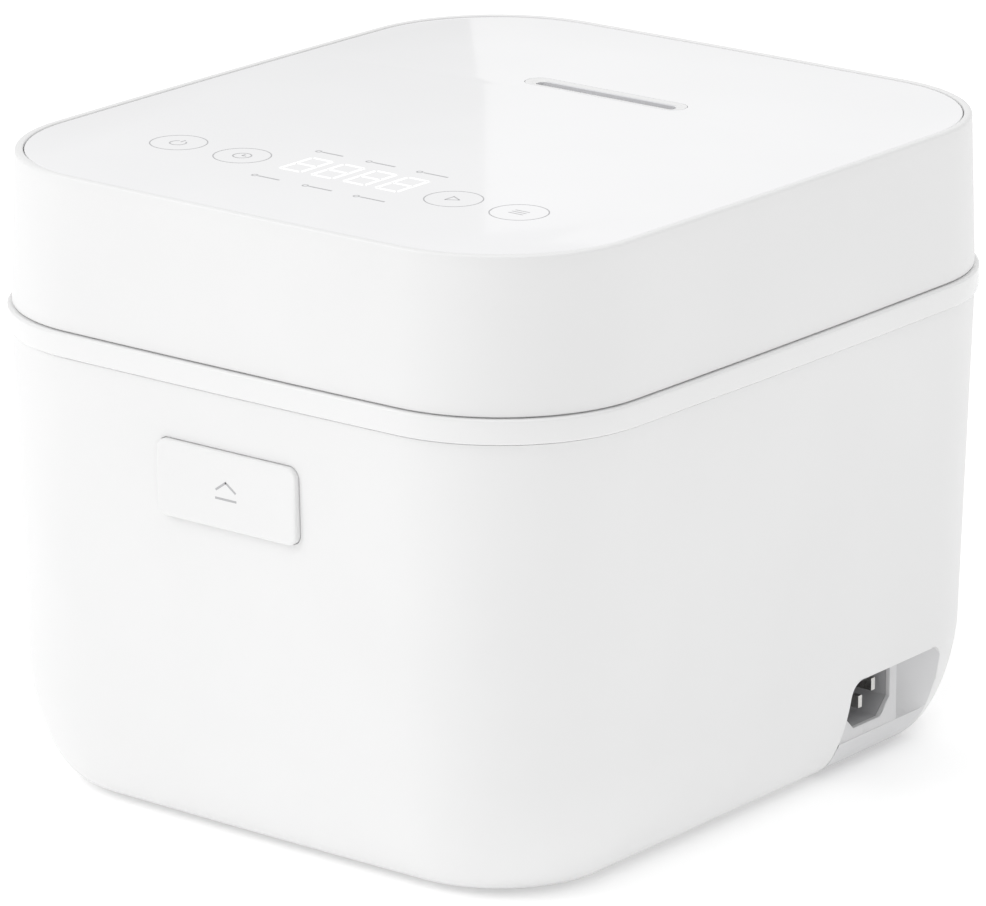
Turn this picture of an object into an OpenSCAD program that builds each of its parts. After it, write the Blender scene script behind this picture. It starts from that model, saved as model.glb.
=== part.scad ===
// Front-opening electric rice cooker, about three litres.
// The front faces -Y, the inlet side is +X and the feet stand on Z = 0.

/* [Overall] */
// Width over the collar band
band_w = 235; // [225:1:290]
// Depth over the collar band, without the rear housing
band_d = 266; // [255:1:330]
// Corner radius of the collar band, seen from above
band_r = 54; // [45:1:65]
// Height of the lid's rim above the table
rim_z = 204; // [190:1:250]
// Height of the rubber feet
foot_h = 1.5; // [1:0.5:4]

/* [Body] */
// Height of the collar band
collar_h = 7.8; // [6:0.2:12]
// How far the body's top edge stands inside the band
body_in = 1.2; // [1:0.1:5]
// Draft of the body's walls, in degrees
body_draft = 1.79; // [0.5:0.01:3]
// Thickness of the outer walls
wall = 2.8; // [2:0.1:3.4]
// Width of the rounding under the body
round_w = 13.8; // [8:0.1:18]
// Height of the rounding under the body
round_h = 36.3; // [20:0.1:45]

/* [Lid] */
// Height of the lid's side wall
lid_h = 47.2; // [42:0.2:60]
// Gap between the lid and the band
seam_gap = 0.8; // [0.4:0.1:1.5]
// How far the lid's lower edge stands inside the band
lid_in = 1.4; // [1:0.05:3]
// How far the lid leans in between its lower edge and its rim
lid_lean = 1.6; // [1:0.05:5]
// Width of the rim around the top panel
rim_w = 2.4; // [1.6:0.1:4]
// Thickness of the top panel
panel_t = 2; // [1.5:0.1:3]
// Gap around the top panel
panel_gap = 0.35; // [0.2:0.05:0.6]
// Largest opening angle of the lid, in degrees
lid_open = 95; // [60:1:95]

/* [Pot] */
// Inner radius of the pot
pot_r = 92.2; // [82:0.2:93]
// Wall of the pot
pot_wall = 1.8; // [1.2:0.1:2.4]
// Depth of the pot, rim to floor
pot_depth = 118.2; // [95:0.2:119]
// Width of the pot's rim flange
pot_flange = 5.3; // [4:0.1:6]
// Radius between the pot's floor and wall, outside
pot_turn = 28; // [15:1:40]
// Thickness of the heating plate
heater_t = 7; // [5:0.5:8]
// Radius of the heating plate
heater_r = 78; // [60:1:79]
// Travel of the centre sensor below its resting place
sensor_travel = 3; // [1:0.5:4]

/* [Release button] */
// Width of the button
button_w = 55; // [40:1:70]
// Height of the button
button_h = 24.5; // [18:0.5:30]
// Height of the button's centre above the table
button_z = 117.2; // [105:0.2:125]
// Corner radius of the button
button_r = 3.5; // [1:0.5:6]
// How far the button stands out of the body
button_proud = 1.8; // [1:0.1:3]
// Travel of the button
button_travel = 2.5; // [1.5:0.1:2.5]

/* [Steam vent] */
// Length of the vent's outline
vent_w = 63; // [50:1:80]
// Width of the vent's outline
vent_d = 10; // [9:0.5:14]
// Length of the open slot
slot_w = 55; // [40:1:70]
// Width of the open slot
slot_d = 4.8; // [4.4:0.1:8]
// Distance of the vent behind the body's centre
vent_y = 55; // [45:1:62]

/* [Power inlet] */
// Front edge of the inlet recess, behind the body's centre
recess_y0 = 37.7; // [34:0.1:39]
// Rear edge of the inlet recess
recess_y1 = 87; // [80:0.5:90]
// Lower edge of the inlet recess
recess_z0 = 12.4; // [11.5:0.1:12.6]
// Upper edge of the inlet recess
recess_z1 = 34; // [34:0.1:40]
// Depth of the inlet recess
recess_t = 6; // [5:0.1:7]
// Width of the socket
socket_w = 25; // [24:0.1:25.5]
// Height of the socket
socket_h = 17; // [16.4:0.1:17.5]
// Cut corners of the socket
socket_cut = 5.5; // [4:0.1:6]
// Depth of the socket
socket_depth = 14; // [13:0.5:14]

/* [Rear housing] */
// How far the rear housing stands behind the band
rear_out = 35.5; // [28:1:45]
// Width of the rear housing
rear_w = 100; // [94:1:130]
// Height of the water box
box_h = 42; // [30:1:50]

/* [Hidden] */
$fn = 96;

overlap = 0.01;                               // how far joined solids reach into each other
fit_gap = 0.15;                               // clearance between parts that sit in each other
slide_gap = 0.3;                              // clearance between parts that move
round_n = 1.75;                               // how full the rounding under the body is

// the band's corner centres
core_x = band_w / 2 - band_r;
core_y = band_d / 2 - band_r;
rear_y = band_d / 2 + rear_out;
shift_y = -rear_out / 2;                      // centres the whole outline on the origin

// heights
seam_z = rim_z - lid_h - seam_gap;            // top of the band
body_top = seam_z - collar_h;
lid_z0 = seam_z + seam_gap;
deck_z = seam_z - 0.6;                        // upper face of the collar's deck
deck_t = 2.4;

// the pot and what carries it
flange_z = deck_z - 2.4;                      // top of the pot's flange
pot_out = pot_r + pot_wall;
flange_r = pot_out + pot_flange;
mouth_r = flange_r + 1.2;                     // round opening in the collar
pot_z = flange_z - pot_depth - pot_wall;      // underside of the pot
heater_z = pot_z - slide_gap;                 // upper face of the heating plate
heater_low = heater_z - heater_t;
well_r = pot_out + 3;
well_t = 1;
cup_hole_r = 16;
post_r = 88;                                  // how far the support posts stand from the centre

// the latch, which turns on a pin behind the front wall
latch_w = 14;
latch_t = 3;
pin_r = 1.5;
frame_depth = 8.5;
pusher_gap = 0.3;

// the hinge
hinge_r = 3;
knuckle_r = 6.5;
knuckle_w = 18;
knuckle_x = 12;                               // inner end of the lid's knuckles
ear_w = 7.5;
hinge_y = band_d / 2 + 8.5;
hinge_z = seam_z + 2;

// places worked out from the sizes above
function draft_in(z) = body_in + (body_top - z) * tan(body_draft);
function front_y(z) = -(band_d / 2 - draft_in(z));
button_y = front_y(button_z);
frame_y = front_y(button_z - button_h / 2 - 6) + wall;  // inner face of the front wall, at the frame's foot
frame_back = frame_y + frame_depth;
lever_y = frame_back + 1.5 + pusher_gap;      // front face of the latch lever
pivot_y = lever_y + latch_t / 2;
pivot_z = body_top - 12.2;
catch_z = lid_z0 + 3.2;
inner_x = band_w / 2 - draft_in(recess_z0) - round_in(recess_z0 - foot_h);
slit = 0.1;                                   // gap round the inlet's apron
apron_x = band_w / 2 - draft_in(foot_h) - round_w - recess_t;   // the apron's inner edge, at the foot
socket_y = recess_y0 + 15.3;
socket_z = recess_z0 + 11.8;
box_top = seam_z - 62;
cup_z = heater_z + 0.2;
floor_t = 2.5;                                // thickness of the bottom cover
floor_z = foot_h + floor_t;

// inward reach of the rounding under the body at height z above its underside
function round_in(z) =
    z >= round_h ? 0
    : round_w * (1 - pow(1 - pow((round_h - z) / round_h, round_n), 1 / round_n));

// ---- shared shapes ----

module at_body() {
    translate([0, shift_y, 0]) children();
}

// sweeps a profile, drawn as [distance from the corner centre, height], round the body
module sweep_round() {
    for (k = [0:3]) {
        a = k % 2 == 0 ? core_x : core_y;
        b = k % 2 == 0 ? core_y : core_x;
        rotate(90 * k) translate([a, b, 0]) {
            rotate_extrude(angle = 90) children();
            rotate([90, 0, 0]) linear_extrude(2 * b) children();
        }
    }
}

// a flat plate with the body's corners, inset from the band
module round_plate(inset, z, h) {
    r = band_r - inset;
    translate([0, 0, z]) {
        translate([-core_x - r, -core_y, 0]) cube([2 * (core_x + r), 2 * core_y, h]);
        translate([-core_x, -core_y - r, 0]) cube([2 * core_x, 2 * (core_y + r), h]);
        for (sx = [-1, 1], sy = [-1, 1])
            translate([sx * core_x, sy * core_y, 0]) cylinder(r = r, h = h);
    }
}

// a bar with round ends, lying flat
module slot_bar(length, width, h) {
    translate([-(length - width) / 2, -width / 2, 0]) cube([length - width, width, h]);
    for (s = [-1, 1])
        translate([s * (length - width) / 2, 0, 0]) cylinder(d = width, h = h);
}

// a block with round upright edges, centred in X and Y
module soft_block(w, d, h, r) {
    translate([-w / 2 + r, -d / 2, 0]) cube([w - 2 * r, d, h]);
    translate([-w / 2, -d / 2 + r, 0]) cube([w, d - 2 * r, h]);
    for (sx = [-1, 1], sy = [-1, 1])
        translate([sx * (w / 2 - r), sy * (d / 2 - r), 0]) cylinder(r = r, h = h);
}

// an upright plate whose thickness runs along +Y from y
module front_plate(w, h, r, y, t) {
    translate([0, y + t, button_z]) rotate([90, 0, 0]) soft_block(w, h, t, r);
}

// outer line of the body, moved in by dx and up by dz
body_steps = 9;
function body_line(dx, dz) = [
    for (i = [0:body_steps])
        let (
            a = 90 - 90 * i / body_steps,
            z = foot_h + round_h * (1 - pow(sin(a), 2 / round_n)),
            x = round_w * (1 - pow(cos(a), 2 / round_n))
        )
        [band_r - draft_in(z) - x - dx, z + dz],
    [band_r - body_in - dx, body_top]
];

function backwards(v) = [for (i = [len(v) - 1:-1:0]) v[i]];

// the layer of the body between two depths, inside a box in Y and Z
module side_layer(from, to, y0, y1, z0, z1) {
    intersection() {
        sweep_round() polygon(concat(body_line(from[0], from[1]), backwards(body_line(to[0], to[1]))));
        translate([0, y0, z0]) cube([band_w, y1 - y0, z1 - z0]);
    }
}

function arc(cx, cz, r, a0, a1, n) =
    [for (i = [0:n]) let (a = a0 + (a1 - a0) * i / n) [cx + r * cos(a), cz + r * sin(a)]];

// a helical spring standing on Z = 0, of height h
coil_sides = 6;
coil_steps = 10;
module coil(r, wire_r, turns, h) {
    rings = turns * coil_steps;
    rise = h - 2 * wire_r;
    points = [
        for (i = [0:rings], j = [0:coil_sides - 1])
            let (a = 360 * i / coil_steps, b = 360 * j / coil_sides, x = r + wire_r * cos(b))
            [x * cos(a), x * sin(a), wire_r + rise * i / rings + wire_r * sin(b)]
    ];
    walls = [
        for (i = [0:rings - 1], j = [0:coil_sides - 1])
            let (k = (j + 1) % coil_sides)
            [i * coil_sides + j, i * coil_sides + k, (i + 1) * coil_sides + k, (i + 1) * coil_sides + j]
    ];
    first = [for (j = [coil_sides - 1:-1:0]) j];
    last = [for (j = [0:coil_sides - 1]) rings * coil_sides + j];
    polyhedron(points, concat(walls, [first, last]));
}

// ---- body ----

module body_shell() {
    base_in = body_in + round_w + 13.5;       // edge of the opening in the underside
    outer = concat([[band_r - base_in, foot_h]], body_line(0, 0));
    inner = concat([[band_r - base_in, foot_h + wall]], body_line(wall, wall));
    color("white") at_body() difference() {
        sweep_round() polygon(concat(outer, backwards(inner)));
        front_plate(button_w + 2 * slide_gap, button_h + 2 * slide_gap, button_r, button_y - 5, 12);
        translate([core_x, recess_y0, recess_z0])
            cube([band_w, recess_y1 - recess_y0, recess_z1 - recess_z0]);
        translate([apron_x, recess_y0, -1]) cube([band_w, recess_y1 - recess_y0, recess_z0 + 1 + overlap]);
        drain_bore(4.7);
    }
}

// the sloping part of the band and the deck that the lid closes on
module body_collar() {
    edge = 1;
    skirt = 6;
    in = draft_in(body_top - skirt) + wall + fit_gap;
    profile = [
        [band_r - body_in - wall, body_top],
        [band_r - body_in + 0.6, body_top],
        [band_r, body_top + edge],
        [band_r, seam_z - edge],
        [band_r - edge, seam_z],
        [band_r - lid_in - 1.5, seam_z],
        [band_r - lid_in - 2.1, deck_z],
        [band_r - 12, deck_z],
        [band_r - 12, deck_z - deck_t],
        [band_r - in - 2, deck_z - deck_t],
        [band_r - in - 2, body_top - skirt],
        [band_r - in, body_top - skirt],
        [band_r - in, body_top],
    ];
    color("white") at_body() difference() {
        union() {
            sweep_round() polygon(profile);
            difference() {
                union() {
                    round_plate(12 - overlap, deck_z - deck_t, deck_t);
                    translate([0, 0, flange_z - 4.8]) cylinder(r = mouth_r + 2.4, h = deck_z - flange_z + 4.8);
                }
                translate([0, 0, flange_z - 6]) cylinder(r = mouth_r, h = 20);
            }
        }
        // the hook's slot
        translate([-latch_w / 2 - 1, lever_y - 3.6, deck_z - 6]) cube([latch_w + 2, 12, 12]);
        // the drain
        translate([0, drain_y, deck_z - 6]) cylinder(r = 4.2 + fit_gap, h = 12);
    }
}

module bottom_cover() {
    inset = body_in + round_w + 13.5 + 0.4;
    color("gainsboro") at_body() difference() {
        round_plate(inset, foot_h, floor_t);
        for (s = [-1, 1], i = [-3:3])
            translate([s * 24, 8 * i, foot_h - 1]) rotate(0) slot_bar(34, 3, 10);
        for (a = [45:90:315])
            rotate(a) translate([post_r, 0, foot_h - 1]) {
                cylinder(r = 1.8, h = 10);
                cylinder(r = 3.6, h = 2.2);
            }
    }
}

module rubber_feet() {
    color("dimgray") at_body()
        for (sx = [-1, 1], sy = [-1, 1])
            translate([sx * (core_x + 12), sy * (core_y - 2), 0])
                rotate_extrude() polygon([[0, 0], [8.2, 0], [9, 0.6], [9, foot_h], [0, foot_h]]);
}

module base_screws() {
    color("silver") at_body()
        for (a = [45:90:315])
            rotate(a) translate([post_r, 0, foot_h]) {
                difference() {
                    translate([0, 0, 0.1]) cylinder(r = 3.2, h = 1.1);
                    translate([0, 0, -overlap]) cylinder(r = 1.5, h = 0.8, $fn = 6);
                }
                translate([0, 0, 1.1]) cylinder(r = 1.5, h = 11);
            }
}

module support_posts() {
    color("gainsboro") at_body()
        for (a = [45:90:315])
            rotate(a) translate([post_r, 0, floor_z]) difference() {
                cylinder(r = 5, h = heater_low - floor_z);
                translate([0, 0, -1]) cylinder(r = 1.5, h = 11);
            }
}

// ---- pot and heater ----

module pot_seat_ring() {
    color("gray") at_body() rotate_extrude() polygon([
        [pot_out + 1.2, flange_z - 4.6],
        [mouth_r - fit_gap, flange_z - 4.6],
        [mouth_r - fit_gap, flange_z - 2.2],
        [pot_out + 1.2, flange_z - 2.2],
    ]);
}

module pot_well() {
    top = flange_z - 4.8;
    color("lightgray") at_body() rotate_extrude() polygon([
        [heater_r + 2, heater_low],
        [well_r + well_t, heater_low],
        [well_r + well_t, top - 1],
        [mouth_r + 4, top - 1],
        [mouth_r + 4, top],
        [well_r, top],
        [well_r, heater_low + 1.2],
        [heater_r + 2, heater_low + 1.2],
    ]);
}

module inner_pot() {
    inside_turn = pot_turn - pot_wall;
    floor_in = pot_z + pot_wall;
    outside = arc(pot_out - pot_turn, pot_z + pot_turn, pot_turn, -90, 0, 8);
    inside = arc(pot_r - inside_turn, floor_in + inside_turn, inside_turn, 0, -90, 8);
    color("dimgray") at_body() rotate_extrude() polygon(concat(
        [[0, pot_z]],
        outside,
        [
            [pot_out, flange_z - 1.8],
            [flange_r, flange_z - 1.8],
            [flange_r, flange_z],
            [pot_r, flange_z],
        ],
        inside,
        [[0, floor_in]]
    ));
}

module heating_plate() {
    color("silver") at_body() rotate_extrude() polygon([
        [cup_hole_r, heater_low],
        [heater_r, heater_low],
        [heater_r, heater_z - 2.5],
        [heater_r - 12, heater_z],
        [cup_hole_r, heater_z],
    ]);
}

element_r = 52;
element_tube = 4;
module heating_element() {
    color("darkslategray") at_body() {
        translate([0, 0, heater_low - element_tube])
            rotate_extrude() translate([element_r, 0]) circle(r = element_tube, $fn = 32);
        for (s = [-1, 1])
            translate([s * 9, -element_r + 0.8, heater_low - element_tube - 8.5]) cylinder(r = 2, h = 8);
    }
}

module heater_tabs() {
    color("silver") at_body()
        for (a = [0:120:240])
            rotate(a + 90) translate([heater_r - 8, -6, heater_low - 2]) cube([20, 12, 2]);
}

module thermal_fuse() {
    color("ivory") at_body() translate([0, 38, heater_low - 3]) {
        rotate([0, 90, 0]) translate([0, 0, -10]) cylinder(r = 3, h = 20, $fn = 32);
        translate([-4, -6, 0]) cube([8, 12, 3]);
    }
}

module sensor_cup() {
    low = heater_low - 4;
    color("silver") at_body() rotate_extrude() polygon([
        [0, cup_z],
        [13.7, cup_z],
        [14.5, cup_z - 0.8],
        [14.5, low],
        [18, low],
        [18, low - 1.2],
        [13.3, low - 1.2],
        [13.3, cup_z - 1.4],
        [0, cup_z - 1.4],
    ]);
}

sensor_seat = heater_low - 14;                // where the sensor's spring stands
module sensor_spring() {
    color("silver") at_body()
        translate([0, 0, sensor_seat]) coil(9, 0.7, 5, cup_z - 1.4 - sensor_seat);
}

module sensor_bracket() {
    leg_x = 26;
    color("darkgray") at_body() {
        translate([-leg_x, -9, sensor_seat - 1.5]) cube([2 * leg_x, 18, 1.5]);
        for (s = [-1, 1])
            translate([s * leg_x - 1, -9, sensor_seat - 1.5]) cube([2, 18, heater_low - sensor_seat + 1.5]);
    }
}

// ---- electrics in the base ----

board_x = -50;
board_y = core_y - 6;
board_w = 90;
board_d = 34;
board_z = floor_z + 5;
module power_board() {
    color("darkgreen") at_body() translate([board_x, board_y, board_z]) {
        cube([board_w, board_d, 1.6]);
        for (x = [5, board_w - 5], y = [5, board_d - 5])
            translate([x, y, floor_z - board_z]) cylinder(r = 2.5, h = board_z - floor_z + overlap);
        translate([10, 7, 1.6 - overlap]) cube([24, 20, 9]);
        translate([42, 10, 1.6 - overlap]) cylinder(r = 5.5, h = 9.5);
        translate([54, 8, 1.6 - overlap]) cube([16, 19, 8.5]);
        translate([76, 5, 1.6 - overlap]) cube([8, 24, 7]);
    }
}

// one insulated lead through a list of points, none of its runs upright
lead_sides = 8;
function unit(v) = v / norm(v);
module lead(path, r) {
    last = len(path) - 1;
    points = [
        for (i = [0:last])
            let (
                before = unit(path[max(i, 1)] - path[max(i, 1) - 1]),
                after = unit(path[min(i, last - 1) + 1] - path[min(i, last - 1)]),
                along = unit(before + after),
                across = unit(cross(along, [0, 0, 1])),
                up = cross(across, along)
            )
            for (j = [0:lead_sides - 1])
                let (b = 360 * j / lead_sides)
                path[i] + r * (cos(b) * across + sin(b) * up)
    ];
    walls = [
        for (i = [0:last - 1], j = [0:lead_sides - 1])
            let (k = (j + 1) % lead_sides, m = i * lead_sides, n = m + lead_sides)
            [m + j, m + k, n + k, n + j]
    ];
    first = [for (j = [lead_sides - 1:-1:0]) j];
    end = [for (j = [0:lead_sides - 1]) last * lead_sides + j];
    polyhedron(points, concat(walls, [first, end]));
}

inlet_back = inner_x - socket_depth - 2.5;
module inlet_leads() {
    colours = ["saddlebrown", "royalblue", "yellowgreen"];
    at_body() for (i = [0:2])
        color(colours[i]) lead([
            [inlet_back, socket_y - 4 + 4 * i, socket_z - 6],
            [inlet_back - 10 + 3 * i, socket_y - 4 + 4 * i, socket_z - 6],
            [core_x + 10 + 3 * i, board_y + 2 + 3 * i, board_z + 2],
            [board_x + 90, board_y + 8 + 3.2 * i, board_z + 5],
            [board_x + 84, board_y + 8 + 3.2 * i, board_z + 5],
        ], 1.2);
}

// the socket's opening: two corners are cut, on the earth side
module socket_shape() {
    w = socket_w / 2;
    h = socket_h / 2;
    polygon([
        [-w, h], [w, h], [w, -h + socket_cut], [w - socket_cut, -h],
        [-w + socket_cut, -h], [-w, -h + socket_cut],
    ]);
}

// turns a drawing so that it faces +X at the socket
module at_socket(x) {
    translate([x, socket_y, socket_z]) rotate([90, 0, 90]) children();
}

inlet_w = socket_w + 3.6;
inlet_h = socket_h + 3.2;
plate_t = 2;                                  // the plate in front of the socket's flange
flange_x = inner_x - plate_t;                 // front of the flange
module power_inlet() {
    color("dimgray") at_body() difference() {
        union() {
            at_socket(flange_x - 2.2) linear_extrude(2.2) square([inlet_w + 1.4, inlet_h + 1], center = true);
            at_socket(inlet_back) linear_extrude(flange_x - inlet_back) square([inlet_w, inlet_h], center = true);
        }
        at_socket(inner_x - socket_depth) linear_extrude(socket_depth + 5) socket_shape();
    }
}

pin_pitch = 14;
pin_drop = 4;                                 // the earth pin stands lower than the other two
module inlet_pins() {
    color("gold") at_body() for (p = [[-pin_pitch / 2, pin_drop / 2], [0, -pin_drop / 2], [pin_pitch / 2, pin_drop / 2]])
        at_socket(inner_x - socket_depth) translate([p[0] - 1, p[1] - 2, 0]) cube([2, 4, socket_depth - 3]);
}

// a tray behind the wall, the plate that the socket stands behind, and the apron that closes the
// cut in the body down to its underside
module inlet_recess() {
    lip = 2.2;
    plate_y1 = socket_y + socket_w / 2 + 3.4;
    color("lightgray") at_body() difference() {
        union() {
            difference() {
                side_layer(
                    [wall + fit_gap, wall + fit_gap], [recess_t + 2.2, 0],
                    recess_y0 - lip, recess_y1 + lip, recess_z0 + fit_gap, recess_z1 + lip
                );
                side_layer([-3, 0], [recess_t, 0], recess_y0, recess_y1, recess_z0 - 1, recess_z1);
            }
            intersection() {
                side_layer([0, 0], [recess_t, 0], recess_y0 + slit, recess_y1 - slit, foot_h - 1, recess_z0);
                translate([apron_x + slit, recess_y0, 0]) cube([band_w, recess_y1 - recess_y0, rim_z]);
            }
            translate([inner_x - recess_t, recess_y0 + slit, recess_z0 - 1])
                cube([recess_t, plate_y1 - recess_y0 - slit, recess_z1 - recess_z0 + 1 - slit]);
            translate([inner_x - recess_t, recess_y0 + slit, recess_z0 - 1])
                cube([2, recess_y1 - recess_y0 - 2 * slit, 4]);
        }
        at_socket(inner_x - 20) linear_extrude(20 - plate_t + fit_gap)
            square([inlet_w + 1.4 + 2 * fit_gap, inlet_h + 1 + 2 * fit_gap], center = true);
        at_socket(inner_x - 20) linear_extrude(30) socket_shape();
    }
}

// ---- release button and latch ----

module release_button() {
    chamfer = 0.8;
    pusher = [8, 3];
    front = button_y - button_proud;
    color("white") at_body() {
        front_plate(button_w - 2 * chamfer, button_h - 2 * chamfer, button_r - chamfer, front, chamfer + overlap);
        front_plate(button_w, button_h, button_r, front + chamfer, frame_y + 1 - front - chamfer);
        front_plate(button_w + 5, button_h + 5, button_r, frame_y + fit_gap, 1.6);
        translate([-pusher[0] / 2, frame_y, button_z - pusher[1] / 2])
            cube([pusher[0], lever_y - pusher_gap - frame_y, pusher[1]]);
    }
}

module button_frame() {
    color("gainsboro") at_body() difference() {
        front_plate(button_w + 12, button_h + 12, 4, frame_y + fit_gap, frame_depth - fit_gap);
        front_plate(button_w + 5 + 2 * slide_gap, button_h + 5 + 2 * slide_gap, 4, frame_y - 1, frame_depth - 0.6);
        translate([-5, frame_y, button_z - 2.5]) cube([10, 20, 5]);
    }
}

module button_springs() {
    seat = frame_y + fit_gap + 1.6;
    color("silver") at_body()
        for (s = [-1, 1])
            translate([s * (button_w / 2 - 8), seat, button_z]) rotate([-90, 0, 0])
                coil(3.4, 0.4, 4, frame_y - 1 + frame_depth - 0.6 - seat);
}

module latch_hook() {
    hook_top = catch_z + 4.8;
    color("gainsboro") at_body() difference() {
        union() {
            translate([-latch_w / 2, lever_y, button_z - 6]) cube([latch_w, latch_t, hook_top - button_z + 6]);
            translate([-latch_w / 2, lever_y, hook_top - 3]) cube([latch_w, latch_t + 3.8, 3]);
            translate([-latch_w / 2, pivot_y, pivot_z]) rotate([0, 90, 0]) cylinder(r = 3.2, h = latch_w);
        }
        translate([-latch_w, pivot_y, pivot_z]) rotate([0, 90, 0]) cylinder(r = pin_r + 0.05, h = 2 * latch_w);
    }
}

module latch_pin() {
    color("silver") at_body()
        translate([-latch_w / 2 - 3.5, pivot_y, pivot_z]) rotate([0, 90, 0]) cylinder(r = pin_r, h = latch_w + 7);
}

spring_seat = lever_y + latch_t + 6;          // where the latch's spring rests
module latch_bracket() {
    ear = latch_w / 2 + slide_gap;
    color("darkgray") at_body() difference() {
        union() {
            for (s = [-1, 1])
                translate([s * (ear + 1.25) - 1.25, pivot_y - 2.8, pivot_z - 4])
                    cube([2.5, spring_seat - pivot_y + 3.8, deck_z - deck_t - pivot_z + 4]);
            translate([-ear - 2.5, spring_seat, button_z - 6])
                cube([2 * ear + 5, 1.5, deck_z - deck_t - button_z + 6]);
        }
        translate([-latch_w, pivot_y, pivot_z]) rotate([0, 90, 0]) cylinder(r = pin_r, h = 2 * latch_w);
    }
}

module latch_spring() {
    color("silver") at_body()
        translate([0, lever_y + latch_t, button_z]) rotate([-90, 0, 0])
            coil(2.6, 0.35, 4, spring_seat - lever_y - latch_t);
}

// ---- lid ----

function lid_line(z) = lid_in + lid_lean * (z - lid_z0) / lid_h;
rim_in = lid_line(rim_z) + rim_w;             // inner edge of the rim
panel_z = rim_z - 0.3 - panel_t;              // underside of the top panel

module lid_shell() {
    ledge = 4.5;
    soft = 0.8;
    low_in = lid_in + wall;
    top_in = lid_line(rim_z) + wall;
    profile = [
        [band_r - lid_in - 0.5, lid_z0],
        [band_r - lid_in, lid_z0 + 0.5],
        [band_r - lid_line(rim_z), rim_z - soft],
        [band_r - lid_line(rim_z) - soft, rim_z],
        [band_r - rim_in, rim_z],
        [band_r - rim_in, panel_z],
        [band_r - rim_in - ledge, panel_z],
        [band_r - rim_in - ledge, panel_z - 2],
        [band_r - top_in, panel_z - 5],
        [band_r - low_in, lid_z0],
    ];
    color("white") at_body() difference() {
        union() {
            sweep_round() polygon(profile);
            for (p = lid_screw_places)
                translate([p[0], p[1], lid_z0 + 2.6]) cylinder(r = 3.6, h = panel_z - 1 - lid_z0 - 2.6);
        }
        for (p = lid_screw_places) translate([p[0], p[1], lid_z0]) cylinder(r = 1.5, h = 8);
        translate([-knuckle_x - knuckle_w - 1, core_y, lid_z0 - 1])
            cube([2 * (knuckle_x + knuckle_w + 1), 2 * band_r, 10.6]);
    }
}

module top_panel() {
    color("white") at_body() difference() {
        round_plate(rim_in + panel_gap, panel_z, panel_t);
        translate([0, vent_y, panel_z - 1]) slot_bar(vent_w, vent_d, 10);
    }
}

duct_z = panel_z - 14;
module vent_bezel() {
    color("white") at_body() translate([0, vent_y, 0]) difference() {
        union() {
            translate([0, 0, duct_z])
                slot_bar(vent_w - 2 * fit_gap, vent_d - 2 * fit_gap, panel_z + panel_t - duct_z);
            translate([0, 0, duct_z]) slot_bar(vent_w + 4, vent_d + 4, panel_z - duct_z - 0.1);
        }
        translate([0, 0, duct_z - 1]) slot_bar(slot_w, slot_d, 30);
    }
}

duct_w = vent_w + 6;
duct_d = 24;
duct_low = lid_z0 - 1.8;
module steam_duct() {
    color("lightgray") at_body() translate([0, vent_y, duct_low]) difference() {
        union() {
            soft_block(duct_w, duct_d, duct_z - duct_low, 6);
            translate([0, 0, lid_z0 + 2.6 - duct_low]) soft_block(duct_w + 8, duct_d + 8, 2, 6);
        }
        translate([0, 0, 2]) soft_block(duct_w - 4, duct_d - 4, duct_z - duct_low, 4);
        for (i = [-2:2]) translate([10 * i, 0, -1]) cylinder(r = 2.5, h = 10, $fn = 48);
    }
}

module duct_seal() {
    color("gainsboro") at_body() translate([0, vent_y, inner_lid_z + 0.8]) difference() {
        soft_block(duct_w + 4, duct_d + 4, duct_low - inner_lid_z - 0.8, 6);
        translate([0, 0, -1]) soft_block(duct_w - 4, duct_d - 4, 20, 5);
    }
}

inner_lid_z = flange_z + 0.9;
inner_lid_r = pot_r - 5.3;
module lid_frame() {
    inset = lid_in + wall + 0.5;
    boss_r = inner_lid_r - 5;
    color("whitesmoke") at_body() difference() {
        union() {
            round_plate(inset, lid_z0 + 0.2, 2.4);
            difference() {
                translate([0, 0, inner_lid_z + 0.9]) cylinder(r = boss_r, h = lid_z0 + 0.3 - inner_lid_z - 0.9);
                translate([0, 0, inner_lid_z - 1]) cylinder(r = boss_r - 3, h = 20);
            }
            cylinder_at_centre(6, inner_lid_z + 3.2, lid_z0 + 0.3);
        }
        translate([0, vent_y, inner_lid_z - 1])
            soft_block(duct_w + 2 * fit_gap, duct_d + 2 * fit_gap, 40, 6 + fit_gap);
        difference() {
            translate([0, vent_y, inner_lid_z - 1])
                soft_block(duct_w + 4 + 2 * fit_gap, duct_d + 4 + 2 * fit_gap, duct_low - inner_lid_z + 1.1, 6);
        }
        translate([-latch_w / 2 - 1.5, lever_y - 4.5, lid_z0 - 1])
            cube([latch_w + 3, latch_t + 4.5 + 1.4, 8]);
        for (p = lid_screw_places) translate([p[0], p[1], lid_z0 - 1]) cylinder(r = 1.6, h = 8);
        translate([lid_sensor_x, lid_sensor_y, lid_z0 - 6]) cylinder(r = 4 + fit_gap, h = 12);
    }
}

module cylinder_at_centre(r, z0, z1) {
    translate([0, 0, z0]) cylinder(r = r, h = z1 - z0);
}

boss_in = 12;                                 // how far the lid's screw bosses stand inside the band
lid_screw_places = [
    for (s = [-1, 1]) each [
        [s * (band_w / 2 - boss_in), -core_y + 8],
        [s * (band_w / 2 - boss_in), core_y - 8],
        [s * 44, -band_d / 2 + boss_in],
    ]
];
module lid_screws() {
    color("silver") at_body() for (p = lid_screw_places) translate([p[0], p[1], lid_z0]) difference() {
        union() {
            translate([0, 0, -1]) cylinder(r = 3, h = 1.2);
            cylinder(r = 1.5, h = 8);
        }
        translate([0, 0, -2]) cylinder(r = 1.4, h = 1.6, $fn = 6);
    }
}

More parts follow.
